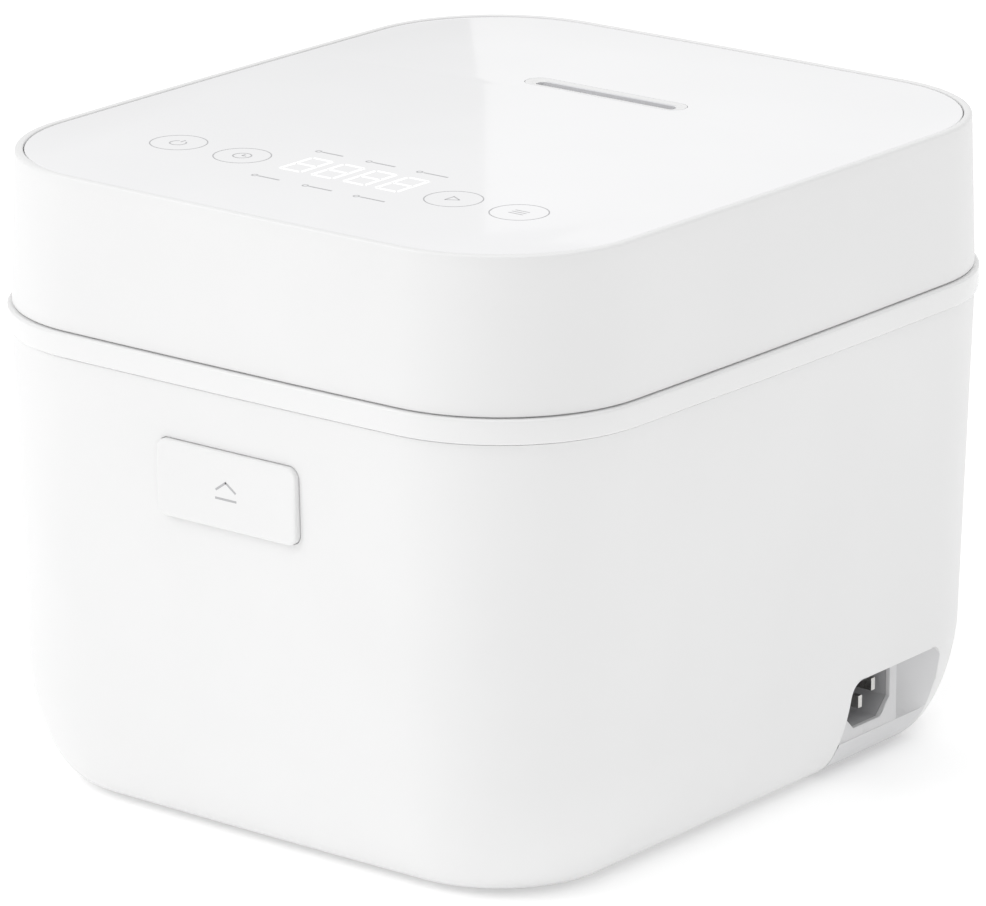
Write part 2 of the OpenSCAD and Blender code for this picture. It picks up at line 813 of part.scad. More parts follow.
module lid_catch() {
    color("silver") at_body()
        translate([-latch_w / 2 - 5, lever_y + latch_t + 1.4, lid_z0 + 2.6])
            cube([latch_w + 10, 9, catch_z + 1.5 - lid_z0 - 2.6]);
}

panel_front = -(band_d / 2 - rim_in);         // front edge of the top panel
touch_y = panel_front + 52;
touch_x = [-67, -41.5, 41.5, 67];
board_low = panel_z - 4.6;
module board_tray() {
    color("gainsboro") at_body() translate([0, touch_y, board_low - 6]) difference() {
        soft_block(172, 50, 6, 5);
        translate([0, 0, 2]) soft_block(168, 46, 10, 4);
    }
}

module touch_board() {
    color("darkgreen") at_body() translate([0, touch_y, board_low]) soft_block(170, 48, 1.6, 4);
}

module touch_pads() {
    color("silver") at_body() for (x = touch_x)
        translate([x, touch_y, board_low + 1.6]) cylinder(r = 7, h = panel_z - board_low - 1.6);
}

module digit_display() {
    color("white") at_body()
        translate([0, touch_y + 4, board_low + 1.6]) soft_block(56, 26, panel_z - board_low - 1.7, 1.5);
}

module inner_lid() {
    color("silver") at_body() difference() {
        translate([0, 0, inner_lid_z]) cylinder(r = inner_lid_r, h = 0.8);
        translate([0, 0, inner_lid_z - 1]) cylinder(r = 5, h = 4);
        for (i = [-2:2]) translate([10 * i, vent_y, inner_lid_z - 1]) cylinder(r = 2.5, h = 4, $fn = 48);
    }
}

module inner_lid_plug() {
    color("lightgray") at_body() rotate_extrude() polygon([
        [0, inner_lid_z - 1.6],
        [7, inner_lid_z - 1.6],
        [8, inner_lid_z - 0.1],
        [4.8, inner_lid_z - 0.1],
        [4.8, inner_lid_z + 0.9],
        [6.5, inner_lid_z + 1.4],
        [4, inner_lid_z + 3.1],
        [0, inner_lid_z + 3.1],
    ]);
}

module lid_seal() {
    top = lid_z0 + 0.2;
    color("whitesmoke") at_body() rotate_extrude() polygon([
        [inner_lid_r + 0.2, flange_z + 0.5],
        [pot_r + 1.4, flange_z + 0.5],
        [pot_r + 2, flange_z + 0.1],
        [flange_r - 1.4, flange_z + 0.1],
        [flange_r - 0.9, flange_z + 1.2],
        [flange_r - 3, top],
        [inner_lid_r - 1, top],
        [inner_lid_r - 1, inner_lid_z + 1],
        [inner_lid_r + 0.2, inner_lid_z + 1],
    ]);
}

lid_sensor_x = 0;
lid_sensor_y = -45;
module lid_sensor() {
    color("silver") at_body() translate([lid_sensor_x, lid_sensor_y, inner_lid_z + 0.9]) cylinder(r = 4, h = 9);
}

// ---- hinge and rear housing ----

module knuckle(x0, w, r) {
    translate([x0, hinge_y, hinge_z]) rotate([0, 90, 0]) cylinder(r = r, h = w);
}

module lid_hinge() {
    arm_y = band_d / 2 - 22;
    color("whitesmoke") at_body() difference() {
        union() {
            for (x0 = [-knuckle_x - knuckle_w, knuckle_x]) {
                knuckle(x0, knuckle_w, knuckle_r);
                translate([x0, arm_y, lid_z0 + 2.6])
                    cube([knuckle_w, hinge_y - arm_y, hinge_z + knuckle_r - lid_z0 - 2.6]);
            }
            translate([-knuckle_x - knuckle_w, arm_y, lid_z0 + 2.6]) cube([2 * (knuckle_x + knuckle_w), 12, 3]);
        }
        knuckle(-60, 120, hinge_r + 0.05);
    }
}

pin_half = knuckle_x + knuckle_w + 0.5 + ear_w;
module hinge_pin() {
    color("silver") at_body() knuckle(-pin_half, 2 * pin_half, hinge_r);
}

module hinge_bracket() {
    low = body_top - 36;
    ear_x = knuckle_x + knuckle_w + 0.5;
    plate_y = band_d / 2 - body_in + 0.1;
    ear_y = band_d / 2 + 0.5;
    color("darkgray") at_body() difference() {
        union() {
            translate([-ear_x - ear_w, plate_y, low])
                cube([2 * (ear_x + ear_w), 5, body_top - hood_wall - 0.6 - low]);
            for (x0 = [-ear_x - ear_w, ear_x]) {
                knuckle(x0, ear_w, knuckle_r);
                translate([x0, ear_y, low]) cube([ear_w, hinge_y + knuckle_r - ear_y, hinge_z - low]);
            }
        }
        knuckle(-60, 120, hinge_r);
    }
}

module hinge_spring() {
    r = hinge_r + 1.1;
    half = knuckle_x - 1;
    color("silver") at_body() {
        translate([-half, hinge_y, hinge_z]) rotate([0, 90, 0]) coil(r, 0.6, 9, 2 * half);
        translate([half - 0.6, hinge_y + r, body_top]) cylinder(r = 0.6, h = hinge_z - body_top, $fn = 24);
        translate([-half + 0.6, hinge_y - 12, hinge_z + r]) rotate([-90, 0, 0]) cylinder(r = 0.6, h = 12, $fn = 24);
    }
}

hood_wall = 2.2;
module hood_solid(shrink) {
    top = body_top - 0.3 - shrink;
    low = box_top + 2;
    deep = rear_y - shrink;
    near = hinge_y + knuckle_r + hood_wall + 1.2 - shrink;
    front = band_d / 2 - body_in + 0.1;
    bend = 10;
    translate([-rear_w / 2 + shrink, 0, 0]) rotate([90, 0, 90]) linear_extrude(rear_w - 2 * shrink) polygon(concat(
        [[front - shrink, low - shrink], [deep, low - shrink], [deep, low + 10]],
        arc(near - bend, top - bend, bend, 30, 90, 5),
        [[front - shrink, top]]
    ));
}

module rear_cover() {
    rail_y = rear_y - 8;
    front = band_d / 2 - body_in + 0.1;
    half = rear_w / 2;
    color("white") at_body() difference() {
        union() {
            difference() {
                hood_solid(0);
                hood_solid(hood_wall);
            }
            for (s = [-1, 1]) {
                translate([s * (half - hood_wall / 2) - hood_wall / 2, front, box_top - 5.5])
                    cube([hood_wall, rail_y - front, 8]);
                translate([s * (half - 2.6) - 2.6, front, box_top - 5.5]) cube([5.2, rail_y - front, 1.6]);
            }
        }
        for (s = [-1, 1])
            translate([s * (knuckle_x + knuckle_w + 0.5 + ear_w / 2) - ear_w / 2 - slide_gap,
                       band_d / 2 - 5, body_top - 8])
                cube([ear_w + 2 * slide_gap, 30, 20]);
    }
}

drain_y = core_y + band_r - 13;
drain_z = box_top + 9;
module drain_bore(r) {
    translate([0, drain_y, drain_z]) rotate([-90, 0, 0]) cylinder(r = r, h = 30);
}

module drain_spout() {
    r = 4.2;
    bore = 2.6;
    out_y = band_d / 2 + 8;
    color("whitesmoke") at_body() difference() {
        union() {
            translate([0, drain_y, drain_z - r]) cylinder(r = r, h = deck_z - 0.4 - drain_z + r);
            translate([0, drain_y, drain_z]) rotate([-90, 0, 0]) cylinder(r = r, h = out_y - drain_y);
        }
        translate([0, drain_y, drain_z]) cylinder(r = bore, h = 80);
        translate([0, drain_y, drain_z]) rotate([-90, 0, 0]) cylinder(r = bore, h = 60);
    }
}

module water_box() {
    front = band_d / 2 - body_in + 0.4;
    half = rear_w / 2 - 5.6;
    deep = rear_y - front;
    mid = front + deep / 2;
    t = 2;
    color("whitesmoke") at_body() difference() {
        union() {
            translate([0, mid, box_top - box_h]) soft_block(2 * half, deep, box_h, 8);
            translate([-half - 3, front, box_top - 3.4]) cube([2 * half + 6, deep - 10, 1.8]);
        }
        translate([0, mid, box_top - box_h + t]) soft_block(2 * (half - t), deep - 2 * t, box_h, 6);
    }
}

body_shell();
body_collar();
bottom_cover();
rubber_feet();
base_screws();
support_posts();
pot_seat_ring();
pot_well();
inner_pot();
heating_plate();
heating_element();
heater_tabs();
thermal_fuse();
sensor_cup();
sensor_spring();
sensor_bracket();
power_board();
inlet_leads();
power_inlet();
inlet_pins();
inlet_recess();
release_button();
button_frame();
button_springs();
latch_hook();
latch_pin();
latch_bracket();
latch_spring();
lid_shell();
top_panel();
vent_bezel();
steam_duct();
duct_seal();
lid_frame();
lid_catch();
lid_screws();
touch_board();
touch_pads();
digit_display();
board_tray();
inner_lid();
inner_lid_plug();
lid_seal();
lid_sensor();
lid_hinge();
hinge_pin();
hinge_bracket();
hinge_spring();
rear_cover();
drain_spout();
water_box();
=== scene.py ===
import math

import bmesh
import bpy
from mathutils import Matrix, Vector


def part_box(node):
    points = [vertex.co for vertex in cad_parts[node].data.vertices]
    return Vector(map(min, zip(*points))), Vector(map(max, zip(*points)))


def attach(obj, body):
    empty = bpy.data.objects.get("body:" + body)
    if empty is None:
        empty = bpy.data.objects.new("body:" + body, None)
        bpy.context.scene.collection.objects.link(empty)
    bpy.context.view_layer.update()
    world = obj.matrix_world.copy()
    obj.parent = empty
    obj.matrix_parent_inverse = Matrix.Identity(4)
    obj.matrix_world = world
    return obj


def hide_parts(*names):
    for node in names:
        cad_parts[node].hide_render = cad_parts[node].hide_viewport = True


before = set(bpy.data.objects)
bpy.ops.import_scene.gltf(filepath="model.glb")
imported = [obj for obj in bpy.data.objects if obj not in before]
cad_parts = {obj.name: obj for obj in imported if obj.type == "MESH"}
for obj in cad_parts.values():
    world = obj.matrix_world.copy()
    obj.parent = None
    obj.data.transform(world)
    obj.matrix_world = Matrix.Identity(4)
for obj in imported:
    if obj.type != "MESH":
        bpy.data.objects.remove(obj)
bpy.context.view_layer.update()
mm = 0.001

# where the body's own axis stands, and the heights that everything is measured from, in millimetres
bandLow, bandHigh = (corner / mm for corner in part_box("body_collar"))
lidLow, lidHigh = (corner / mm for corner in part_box("lid_shell"))
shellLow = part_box("body_shell")[0] / mm
axisY = (bandLow.y + bandHigh.y) / 2
halfBand = ((bandHigh.x - bandLow.x) / 2, (bandHigh.y - bandLow.y) / 2)
seamDrop = 0.9  # the seam stands this far below the place that the frame gives it
seamZ = bandHigh.z - seamDrop
rimZ = lidHigh.z
# from millimetres about the body's axis to the frame's metres
toRow = Matrix.Translation((0, axisY * mm, 0)) @ Matrix.Scale(mm, 4)


def nodeBox(name):  # a node's box in millimetres, measured from the body's axis
    low, high = (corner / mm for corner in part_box(name))
    shift = Vector((0, axisY, 0))
    return low - shift, high - shift


# angles in degrees, distance, targetUp and clipEnd in metres, lens and sensor in millimetres
cameraSettings = {"azimuth": 38.33, "elevation": 17.12, "distance": 2.128, "lens": 245.3, "sensor": 36,
                  "targetUp": 95.8 * mm, "shiftX": -0.0054, "shiftY": 0.0004, "clipEnd": 50}


def addCamera(s):
    azimuth, elevation = math.radians(s["azimuth"]), math.radians(s["elevation"])
    back = Vector((math.sin(azimuth) * math.cos(elevation), -math.cos(azimuth) * math.cos(elevation),
                   math.sin(elevation)))
    target = Vector((0, axisY * mm, shellLow.z * mm + s["targetUp"]))
    camera = bpy.data.objects.new("camera", bpy.data.cameras.new("camera"))
    camera.data.lens = s["lens"]
    camera.data.sensor_width = s["sensor"]
    camera.data.shift_x = s["shiftX"]
    camera.data.shift_y = s["shiftY"]
    camera.data.clip_end = s["clipEnd"]
    camera.location = target + back * s["distance"]
    camera.rotation_euler = (-back).to_track_quat("-Z", "Y").to_euler()
    bpy.context.scene.collection.objects.link(camera)
    bpy.context.scene.camera = camera


addCamera(cameraSettings)
print("camera set")


def colour(code):  # an sRGB hex value as a linear colour
    parts = [int(code[i:i + 2], 16) / 255 for i in (0, 2, 4)]
    return [p / 12.92 if p <= 0.04045 else ((p + 0.055) / 1.055) ** 2.4 for p in parts] + [1]


def addNode(tree, kind, settings=None, links=None):
    node = tree.nodes.new(kind)
    for key, value in (settings or {}).items():
        if key in node.inputs and not hasattr(type(node), key):
            node.inputs[key].default_value = value
        else:
            setattr(node, key, value)
    for key, socket in (links or {}).items():
        tree.links.new(socket, node.inputs[key])
    return node


def newMaterial(name, settings):
    material = bpy.data.materials.new(name)
    material.use_nodes = True
    tree = material.node_tree
    shader = tree.nodes["Principled BSDF"]
    for key, value in settings.items():
        shader.inputs[key].default_value = value
    place = addNode(tree, "ShaderNodeTexCoord").outputs["Object"]
    return material, tree, shader, place


def ramp(tree, factor, fromValue, toValue, low=0.3, high=0.7):
    node = addNode(tree, "ShaderNodeValToRGB", {}, {"Fac": factor})
    first, last = node.color_ramp.elements
    first.position, last.position = low, high
    first.color, last.color = fromValue, toValue
    return node.outputs["Color"]


def grey(value):
    return (value, value, value, 1)


def bumpFrom(tree, shader, height, distance):
    bump = addNode(tree, "ShaderNodeBump", {"Strength": 1.0, "Distance": distance}, {"Height": height})
    tree.links.new(bump.outputs["Normal"], shader.inputs["Normal"])


def layFinish(tree, shader, shade, grain, s):
    # shade moves the colour from dark to light, grain the roughness and the fine relief
    tree.links.new(ramp(tree, shade, colour(s["dark"]), colour(s["light"])), shader.inputs["Base Color"])
    tree.links.new(ramp(tree, grain, grey(s["rough"][0]), grey(s["rough"][1])), shader.inputs["Roughness"])
    bumpFrom(tree, shader, grain, s["bump"] * mm)


def mouldedPlastic(name, s):
    # grain is the spark-eroded texture of the mould, drift the slow change of shade of a big moulding
    material, tree, shader, place = newMaterial(name, {"IOR": s.get("ior", 1.5),
                                                       "Coat Weight": s.get("coat", 0.0),
                                                       "Coat Roughness": 0.03})
    drift = addNode(tree, "ShaderNodeTexNoise", {"Scale": 1 / (s.get("drift", 60) * mm), "Detail": 2.0},
                    {"Vector": place}).outputs["Fac"]
    grain = addNode(tree, "ShaderNodeTexNoise", {"Scale": 1 / (s["grain"] * mm), "Detail": 3.0},
                    {"Vector": place}).outputs["Fac"]
    layFinish(tree, shader, drift, grain, s)
    return material


# ABS, injection moulded in a finely eroded tool: clean white, satin, with soft broad highlights
satinAbs = mouldedPlastic("satinAbs", {"dark": "e9e9e9", "light": "ebebeb", "grain": 0.5, "bump": 0.005,
                                       "rough": (0.34, 0.42)})
# ABS from a polished tool, on the collar band and the rim parts: sharper highlights on its edges
polishedAbs = mouldedPlastic("polishedAbs", {"dark": "eaeaea", "light": "ececec", "grain": 0.9,
                                             "bump": 0.002, "rough": (0.2, 0.26)})
# PMMA panel over a white backing: hard, very smooth, mirrors what stands behind it
glossPmma = mouldedPlastic("glossPmma", {"dark": "f4f4f5", "light": "f6f6f7", "grain": 4.0, "bump": 0.002,
                                         "rough": (0.05, 0.08), "ior": 1.49, "coat": 0.25})
# ABS, light grey, with a fine matt texture that hides scuffs
greyAbs = mouldedPlastic("greyAbs", {"dark": "d4d4d5", "light": "dcdcdd", "grain": 0.6, "bump": 0.012,
                                     "rough": (0.42, 0.52)})
# the same ABS, a little lighter and flatter, on the walls of the steam slot, its grey a painted shade for the
# slot's deep inside
slotShadeGrey = mouldedPlastic("slotShadeGreyAbs", {"dark": "dedee0", "light": "e6e6e8", "grain": 0.6, "bump": 0.012,
                                          "rough": (0.45, 0.55)})
# glass-filled PBT, flat, its grey set lighter than the moulding's own dark grey: painted light for the shaded
# inside of the socket
darkPbt = mouldedPlastic("darkPbt", {"dark": "a6a6a8", "light": "b0b0b2", "grain": 0.5, "bump": 0.015,
                                     "rough": (0.38, 0.5)})
# polypropylene, unpainted inner mouldings, slightly waxy
waxyPp = mouldedPlastic("waxyPp", {"dark": "e6e6e4", "light": "ececea", "grain": 0.8, "bump": 0.01,
                                   "rough": (0.4, 0.5)})
# silicone rubber, pressed: off-white, matt and soft-looking
pressedSilicone = mouldedPlastic("pressedSilicone", {"dark": "dcdbd7", "light": "e4e3df", "grain": 0.7,
                                                     "bump": 0.012, "rough": (0.5, 0.62), "ior": 1.41})
# moulded rubber feet, dark grey, no gloss
matteRubber = mouldedPlastic("matteRubber", {"dark": "3c3c3d", "light": "464647", "grain": 0.5,
                                             "bump": 0.03, "rough": (0.68, 0.82)})


def plainMetal(name, s):
    # grain is the texture left by casting, drawing or rolling, in millimetres along X, Y and Z
    material, tree, shader, place = newMaterial(name, {"Metallic": 1.0})
    stretch = [1 / (g * mm) for g in s["grain"]]
    laid = addNode(tree, "ShaderNodeMapping", {"Scale": stretch}, {"Vector": place}).outputs["Vector"]
    grain = addNode(tree, "ShaderNodeTexNoise", {"Scale": 1.0, "Detail": 4.0},
                    {"Vector": laid}).outputs["Fac"]
    layFinish(tree, shader, grain, grain, s)
    return material


def spunMetal(name, s):
    # rings left by the tool on a sheet spun or turned about the pot's axis
    material, tree, shader, place = newMaterial(name, {"Metallic": 1.0})
    centred = addNode(tree, "ShaderNodeMapping", {"Location": (0, -axisY * mm, 0)}, {"Vector": place})
    split = addNode(tree, "ShaderNodeSeparateXYZ", {}, {"Vector": centred.outputs["Vector"]}).outputs
    flat = addNode(tree, "ShaderNodeCombineXYZ", {}, {"X": split["X"], "Y": split["Y"]}).outputs["Vector"]
    radius = addNode(tree, "ShaderNodeVectorMath", {"operation": "LENGTH"}, {0: flat}).outputs["Value"]
    along = addNode(tree, "ShaderNodeCombineXYZ", {}, {"X": radius, "Y": split["Z"]}).outputs["Vector"]
    rings = addNode(tree, "ShaderNodeTexNoise", {"Scale": 1 / (s["pitch"] * mm), "Detail": 2.0},
                    {"Vector": along}).outputs["Fac"]
    layFinish(tree, shader, rings, rings, s)
    return material


# die-cast aluminium, machined on top: pale grey with a fine directionless grain
castAluminium = plainMetal("castAluminium", {"dark": "a9abad", "light": "c3c5c6", "grain": (1.2, 1.2, 1.2),
                                             "rough": (0.34, 0.5), "bump": 0.03})
# aluminium sheet, spun: bright, with faint rings from the spinning tool
spunAluminium = spunMetal("spunAluminium", {"dark": "c4c6c8", "light": "d9dadb", "pitch": 0.5,
                                            "rough": (0.24, 0.32), "bump": 0.0015})
# drawn spring steel wire: bright and slightly streaked along the wire
drawnSteel = plainMetal("drawnSteel", {"dark": "8d8f91", "light": "b6b8ba", "grain": (0.5, 0.5, 0.5),
                                       "rough": (0.22, 0.34), "bump": 0.003})
# zinc-plated steel sheet and screws: pale blue-grey, rather dull
zincSteel = plainMetal("zincSteel", {"dark": "b2b5b8", "light": "c2c5c8", "grain": (0.8, 0.8, 0.8),
                                     "rough": (0.3, 0.46), "bump": 0.006})
# nickel-plated brass blades: bright with a slightly warm tone
nickelledBrass = plainMetal("nickelledBrass", {"dark": "bdbcba", "light": "d3d2cf", "grain": (0.4, 0.4, 3),
                                               "rough": (0.16, 0.26), "bump": 0.002})


def nonStickCoat(name, s):
    # PTFE sprayed on and baked: near black, eggshell sheen, with pale mineral flecks
    material, tree, shader, place = newMaterial(name, {"IOR": 1.38, "Coat Weight": 0.2,
                                                       "Coat Roughness": 0.22})
    flecks = addNode(tree, "ShaderNodeTexVoronoi", {"Scale": 1 / (s["fleckPitch"] * mm)}, {"Vector": place})
    patches = addNode(tree, "ShaderNodeTexNoise", {"Scale": 1 / (s["patch"] * mm), "Detail": 3.0},
                      {"Vector": place}).outputs["Fac"]
    ground = ramp(tree, patches, colour(s["dark"]), colour(s["light"]), 0.35, 0.65)
    spots = ramp(tree, flecks.outputs["Distance"], grey(1), grey(0), *s["fleckEdge"])
    mixed = addNode(tree, "ShaderNodeMix", {"data_type": "RGBA"})
    tree.links.new(spots, mixed.inputs[0])
    tree.links.new(ground, mixed.inputs[6])
    mixed.inputs[7].default_value = colour(s["fleck"])
    tree.links.new(mixed.outputs[2], shader.inputs["Base Color"])
    grain = addNode(tree, "ShaderNodeTexNoise", {"Scale": 1 / (s["grain"] * mm), "Detail": 2.0},
                    {"Vector": place}).outputs["Fac"]
    tree.links.new(ramp(tree, grain, grey(s["rough"][0]), grey(s["rough"][1])), shader.inputs["Roughness"])
    bumpFrom(tree, shader, grain, s["bump"] * mm)
    return material


bakedPtfe = nonStickCoat("bakedPtfe", {"dark": "2b2b2d", "light": "333336", "fleck": "77787b",
                                       "fleckPitch": 1.6, "fleckEdge": (0.1, 0.16), "patch": 9.0,
                                       "grain": 0.6, "rough": (0.36, 0.48), "bump": 0.02})


def frostedPolypropylene(name, s):
    # thin natural PP: milky, lets some light through, blurred behind
    material, tree, shader, place = newMaterial(name, {"IOR": 1.49, "Transmission Weight": 0.35})
    cloud = addNode(tree, "ShaderNodeTexNoise", {"Scale": 1 / (s["cloud"] * mm), "Detail": 2.0},
                    {"Vector": place}).outputs["Fac"]
    layFinish(tree, shader, cloud, cloud, s)
    return material


frostedPp = frostedPolypropylene("frostedPp", {"dark": "e8eaec", "light": "f2f3f4", "cloud": 14.0,
                                               "rough": (0.42, 0.52), "bump": 0.02})


def solderMask(name, s):
    # glass-epoxy board under green solder mask: glossy, with paler tracks in it
    material, tree, shader, place = newMaterial(name, {"IOR": 1.52, "Roughness": 0.28, "Coat Weight": 0.3})
    tracks = addNode(tree, "ShaderNodeTexBrick", {"Scale": 1 / (s["pitch"] * mm), "Mortar Size": s["track"],
                                                  "Color1": colour(s["dark"]), "Color2": colour(s["light"]),
                                                  "Mortar": colour(s["copper"])}, {"Vector": place})
    tree.links.new(tracks.outputs["Color"], shader.inputs["Base Color"])
    bumpFrom(tree, shader, tracks.outputs["Fac"], s["bump"] * mm)
    return material


solderedBoard = solderMask("solderedBoard", {"dark": "135c37", "light": "165f3a", "copper": "2f8a58",
                                             "pitch": 7.0, "track": 0.06, "bump": 0.03})


def printedInk(name, code, glow=0.0):
    # screen-printed ink, a few hundredths of a millimetre thick, matt beside the gloss panel
    material, tree, shader, place = newMaterial(name, {"Emission Strength": glow,
                                                       "Emission Color": colour(code)})
    speck = addNode(tree, "ShaderNodeTexNoise", {"Scale": 1 / (0.4 * mm)}, {"Vector": place}).outputs["Fac"]
    dark, light = [c * 0.94 for c in colour(code)[:3]] + [1], colour(code)
    tree.links.new(ramp(tree, speck, dark, light), shader.inputs["Base Color"])
    tree.links.new(ramp(tree, speck, grey(0.4), grey(0.5)), shader.inputs["Roughness"])
    return material


greyInk = printedInk("greyInk", "b9b9bb")
# white digit ink with a faint emission: a painted glow, the printed digits are no lamp
paintedGlowDigits = printedInk("paintedGlowDigits", "ffffff", 0.12)
potInk = printedInk("potInk", "8d8e92")
# PVC wire insulation in the three mains colours
brownPvc, bluePvc, stripedPvc = (mouldedPlastic(name, {"dark": dark, "light": light, "grain": 0.8,
                                                       "bump": 0.004, "rough": (0.35, 0.45), "drift": 8})
                                 for name, dark, light in (("brownPvc", "5a3420", "6a3d26"),
                                                           ("bluePvc", "2a55a0", "3463b4"),
                                                           ("stripedPvc", "6e9a2c", "c3c73a")))
print("materials ready")

# outlines and shapes are in millimetres, measured from the body's axis
cornerSteps = 20
sideSteps = 22


def roundedLoop(halfX, halfY, radius, z=0.0, crown=0.0, corners=cornerSteps, sides=sideSteps):
    # a rounded rectangle, its sides bowed out so that their ends stand crown inside their middles
    points = []
    for quarter in range(4):
        a, b = (halfX, halfY) if quarter % 2 == 0 else (halfY, halfX)
        turn = Matrix.Rotation(quarter * math.pi / 2, 3, "Z")
        corner = [Vector((a - radius + radius * math.cos(math.pi / 2 * i / corners),
                          b - radius + radius * math.sin(math.pi / 2 * i / corners), z))
                  for i in range(corners)]
        side = [Vector(((a - radius) * (1 - 2 * i / sides), b, z)) for i in range(sides)]
        for p in corner + side:
            p = turn @ p
            points.append(Vector((p.x * (1 - crown / halfX * (p.y / halfY) ** 2),
                                  p.y * (1 - crown / halfY * (p.x / halfX) ** 2), p.z)))
    return points


def softProfile(profile, steps=4):
    # rounds each corner of a section by its own third value, a radius
    points = []
    count = len(profile)
    for i, (x, z, radius) in enumerate(profile):
        here = Vector((x, z))
        before, after = Vector(profile[i - 1][:2]) - here, Vector(profile[(i + 1) % count][:2]) - here
        angle = before.angle(after) if before.length and after.length else math.pi
        if radius <= 0 or angle > math.pi - 0.02:
            points.append(here)
            continue
        reach = min(radius / math.tan(angle / 2), before.length * 0.48, after.length * 0.48)
        a, b = here + before.normalized() * reach, here + after.normalized() * reach
        for k in range(steps + 1):
            t = k / steps
            points.append(a * (1 - t) ** 2 + here * 2 * t * (1 - t) + b * t ** 2)
    return points


def loft(bm, rows, closed=True):
    # a ring of vertices drawn through the rows, each row a loop of as many points
    order = bm.verts.layers.int.get("order") or bm.verts.layers.int.new("order")
    ring = bmesh.ops.create_circle(bm, segments=len(rows[0]), radius=1)["verts"]
    for i, vert in enumerate(ring):
        vert[order] = i
    edges = list({e for v in ring for e in v.link_edges})
    firstEdges = edges
    for n, row in enumerate(rows):
        if n:
            made = bmesh.ops.extrude_edge_only(bm, edges=edges)["geom"]
            ring = [g for g in made if isinstance(g, bmesh.types.BMVert)]
            fresh = set(ring)
            edges = [g for g in made if isinstance(g, bmesh.types.BMEdge)
                     and g.verts[0] in fresh and g.verts[1] in fresh]
        for vert in ring:
            vert.co = row[vert[order]]
    if closed:
        bmesh.ops.bridge_loops(bm, edges=firstEdges + edges)
    return firstEdges, edges


def spunShape(bm, profile, steps, centre=(0, 0)):
    # a section of [radius, height] turned round an upright axis
    verts = [bm.verts.new((centre[0] + p[0], centre[1], p[1])) for p in profile]
    edges = [bm.edges.new((verts[i], verts[(i + 1) % len(verts)])) for i in range(len(verts))]
    bmesh.ops.spin(bm, geom=verts + edges, cent=(centre[0], centre[1], 0), axis=(0, 0, 1), dvec=(0, 0, 0),
                   angle=2 * math.pi, steps=steps, use_merge=True, use_duplicate=False)


def roundEdges(bm, edges, radius, steps, clamp):
    bmesh.ops.bevel(bm, geom=edges, offset=radius, offset_type="OFFSET", segments=steps, profile=0.5,
                    affect="EDGES", material=-1, clamp_overlap=clamp)


def easeEdges(bm, radius, angle, inside=lambda p: True, clamp=False):
    # rounds the edges sharper than angle whose middles pass the test
    limit = math.radians(angle)
    picked = [e for e in bm.edges if len(e.link_faces) == 2 and e.calc_face_angle(0) > limit
              and inside((e.verts[0].co + e.verts[1].co) / 2)]
    roundEdges(bm, picked, radius, 2, clamp)


def softBox(bm, low, high, radius, steps):
    made = bmesh.ops.create_cube(bm, size=1)["verts"]
    low, high = Vector(low), Vector(high)
    for vert in made:
        vert.co = Vector([(low[k] + high[k]) / 2 + vert.co[k] * (high[k] - low[k]) for k in range(3)])
    roundEdges(bm, list({e for v in made for e in v.link_edges}), radius, steps, True)


def finishPiece(bm, name, body, materials, replaced=(), sharp=32, merge=0.002):
    bmesh.ops.remove_doubles(bm, verts=bm.verts[:], dist=merge)
    bmesh.ops.recalc_face_normals(bm, faces=bm.faces[:])
    bmesh.ops.transform(bm, matrix=toRow, verts=bm.verts[:])
    mesh = bpy.data.meshes.new(name)
    bm.to_mesh(mesh)
    bm.free()
    for material in materials if isinstance(materials, (list, tuple)) else [materials]:
        mesh.materials.append(material)
    mesh.polygons.foreach_set("use_smooth", [True] * len(mesh.polygons))
    mesh.set_sharp_from_angle(angle=math.radians(sharp))
    piece = bpy.data.objects.new(name, mesh)
    bpy.context.scene.collection.objects.link(piece)
    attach(piece, body)
    if replaced:
        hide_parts(*replaced)
    return piece


def cutAway(bm, cutter):
    # takes the cutter's shape out of bm, and returns what is left as a new bmesh
    meshes = []
    for shape in (bm, cutter):
        bmesh.ops.remove_doubles(shape, verts=shape.verts[:], dist=0.002)
        bmesh.ops.recalc_face_normals(shape, faces=shape.faces[:])
        mesh = bpy.data.meshes.new("work")
        shape.to_mesh(mesh)
        shape.free()
        meshes.append(mesh)
    objects = [bpy.data.objects.new("work", mesh) for mesh in meshes]
    for thing in objects:
        bpy.context.scene.collection.objects.link(thing)
    modifier = objects[0].modifiers.new("cut", "BOOLEAN")
    modifier.operation = "DIFFERENCE"
    modifier.solver = "EXACT"
    modifier.object = objects[1]
    bpy.context.view_layer.update()
    result = objects[0].evaluated_get(bpy.context.evaluated_depsgraph_get()).to_mesh()
    made = bmesh.new()
    made.from_mesh(result)
    for thing in objects:
        bpy.data.objects.remove(thing)
    for mesh in meshes:
        bpy.data.meshes.remove(mesh)
    return made


def plugOf(bm, rows):  # a closed solid through the rows
    for end in loft(bm, rows, closed=False):
        bmesh.ops.contextual_create(bm, geom=end)


def facingFront(bm, y, z):  # turns a shape drawn lying flat so that its top faces the front
    bmesh.ops.transform(bm, verts=bm.verts[:],
                        matrix=Matrix.Translation((0, y, z)) @ Matrix.Rotation(math.pi / 2, 4, "X"))


def facingSide(bm, x, y, z):  # the same, so that its top faces +X
    turn = Matrix.Rotation(math.pi / 2, 4, "Z") @ Matrix.Rotation(math.pi / 2, 4, "X")
    bmesh.ops.transform(bm, verts=bm.verts[:], matrix=Matrix.Translation((x, y, z)) @ turn)


def cutPlug(bm, rows, facing=None, place=()):
    # cuts a solid through the rows out of bm, once facing has turned it to its place
    cutter = bmesh.new()
    plugOf(cutter, rows)
    if facing:
        facing(cutter, *place)
    return cutAway(bm, cutter)


def cutRound(bm, radius, low, high, steps, centre=(0, 0), facing=None, place=()):
    # the same with a round bar
    cutter = bmesh.new()
    spunShape(cutter, [[0, low], [radius, low], [radius, high], [0, high]], steps, centre)
    if facing:
        facing(cutter, *place)
    return cutAway(bm, cutter)


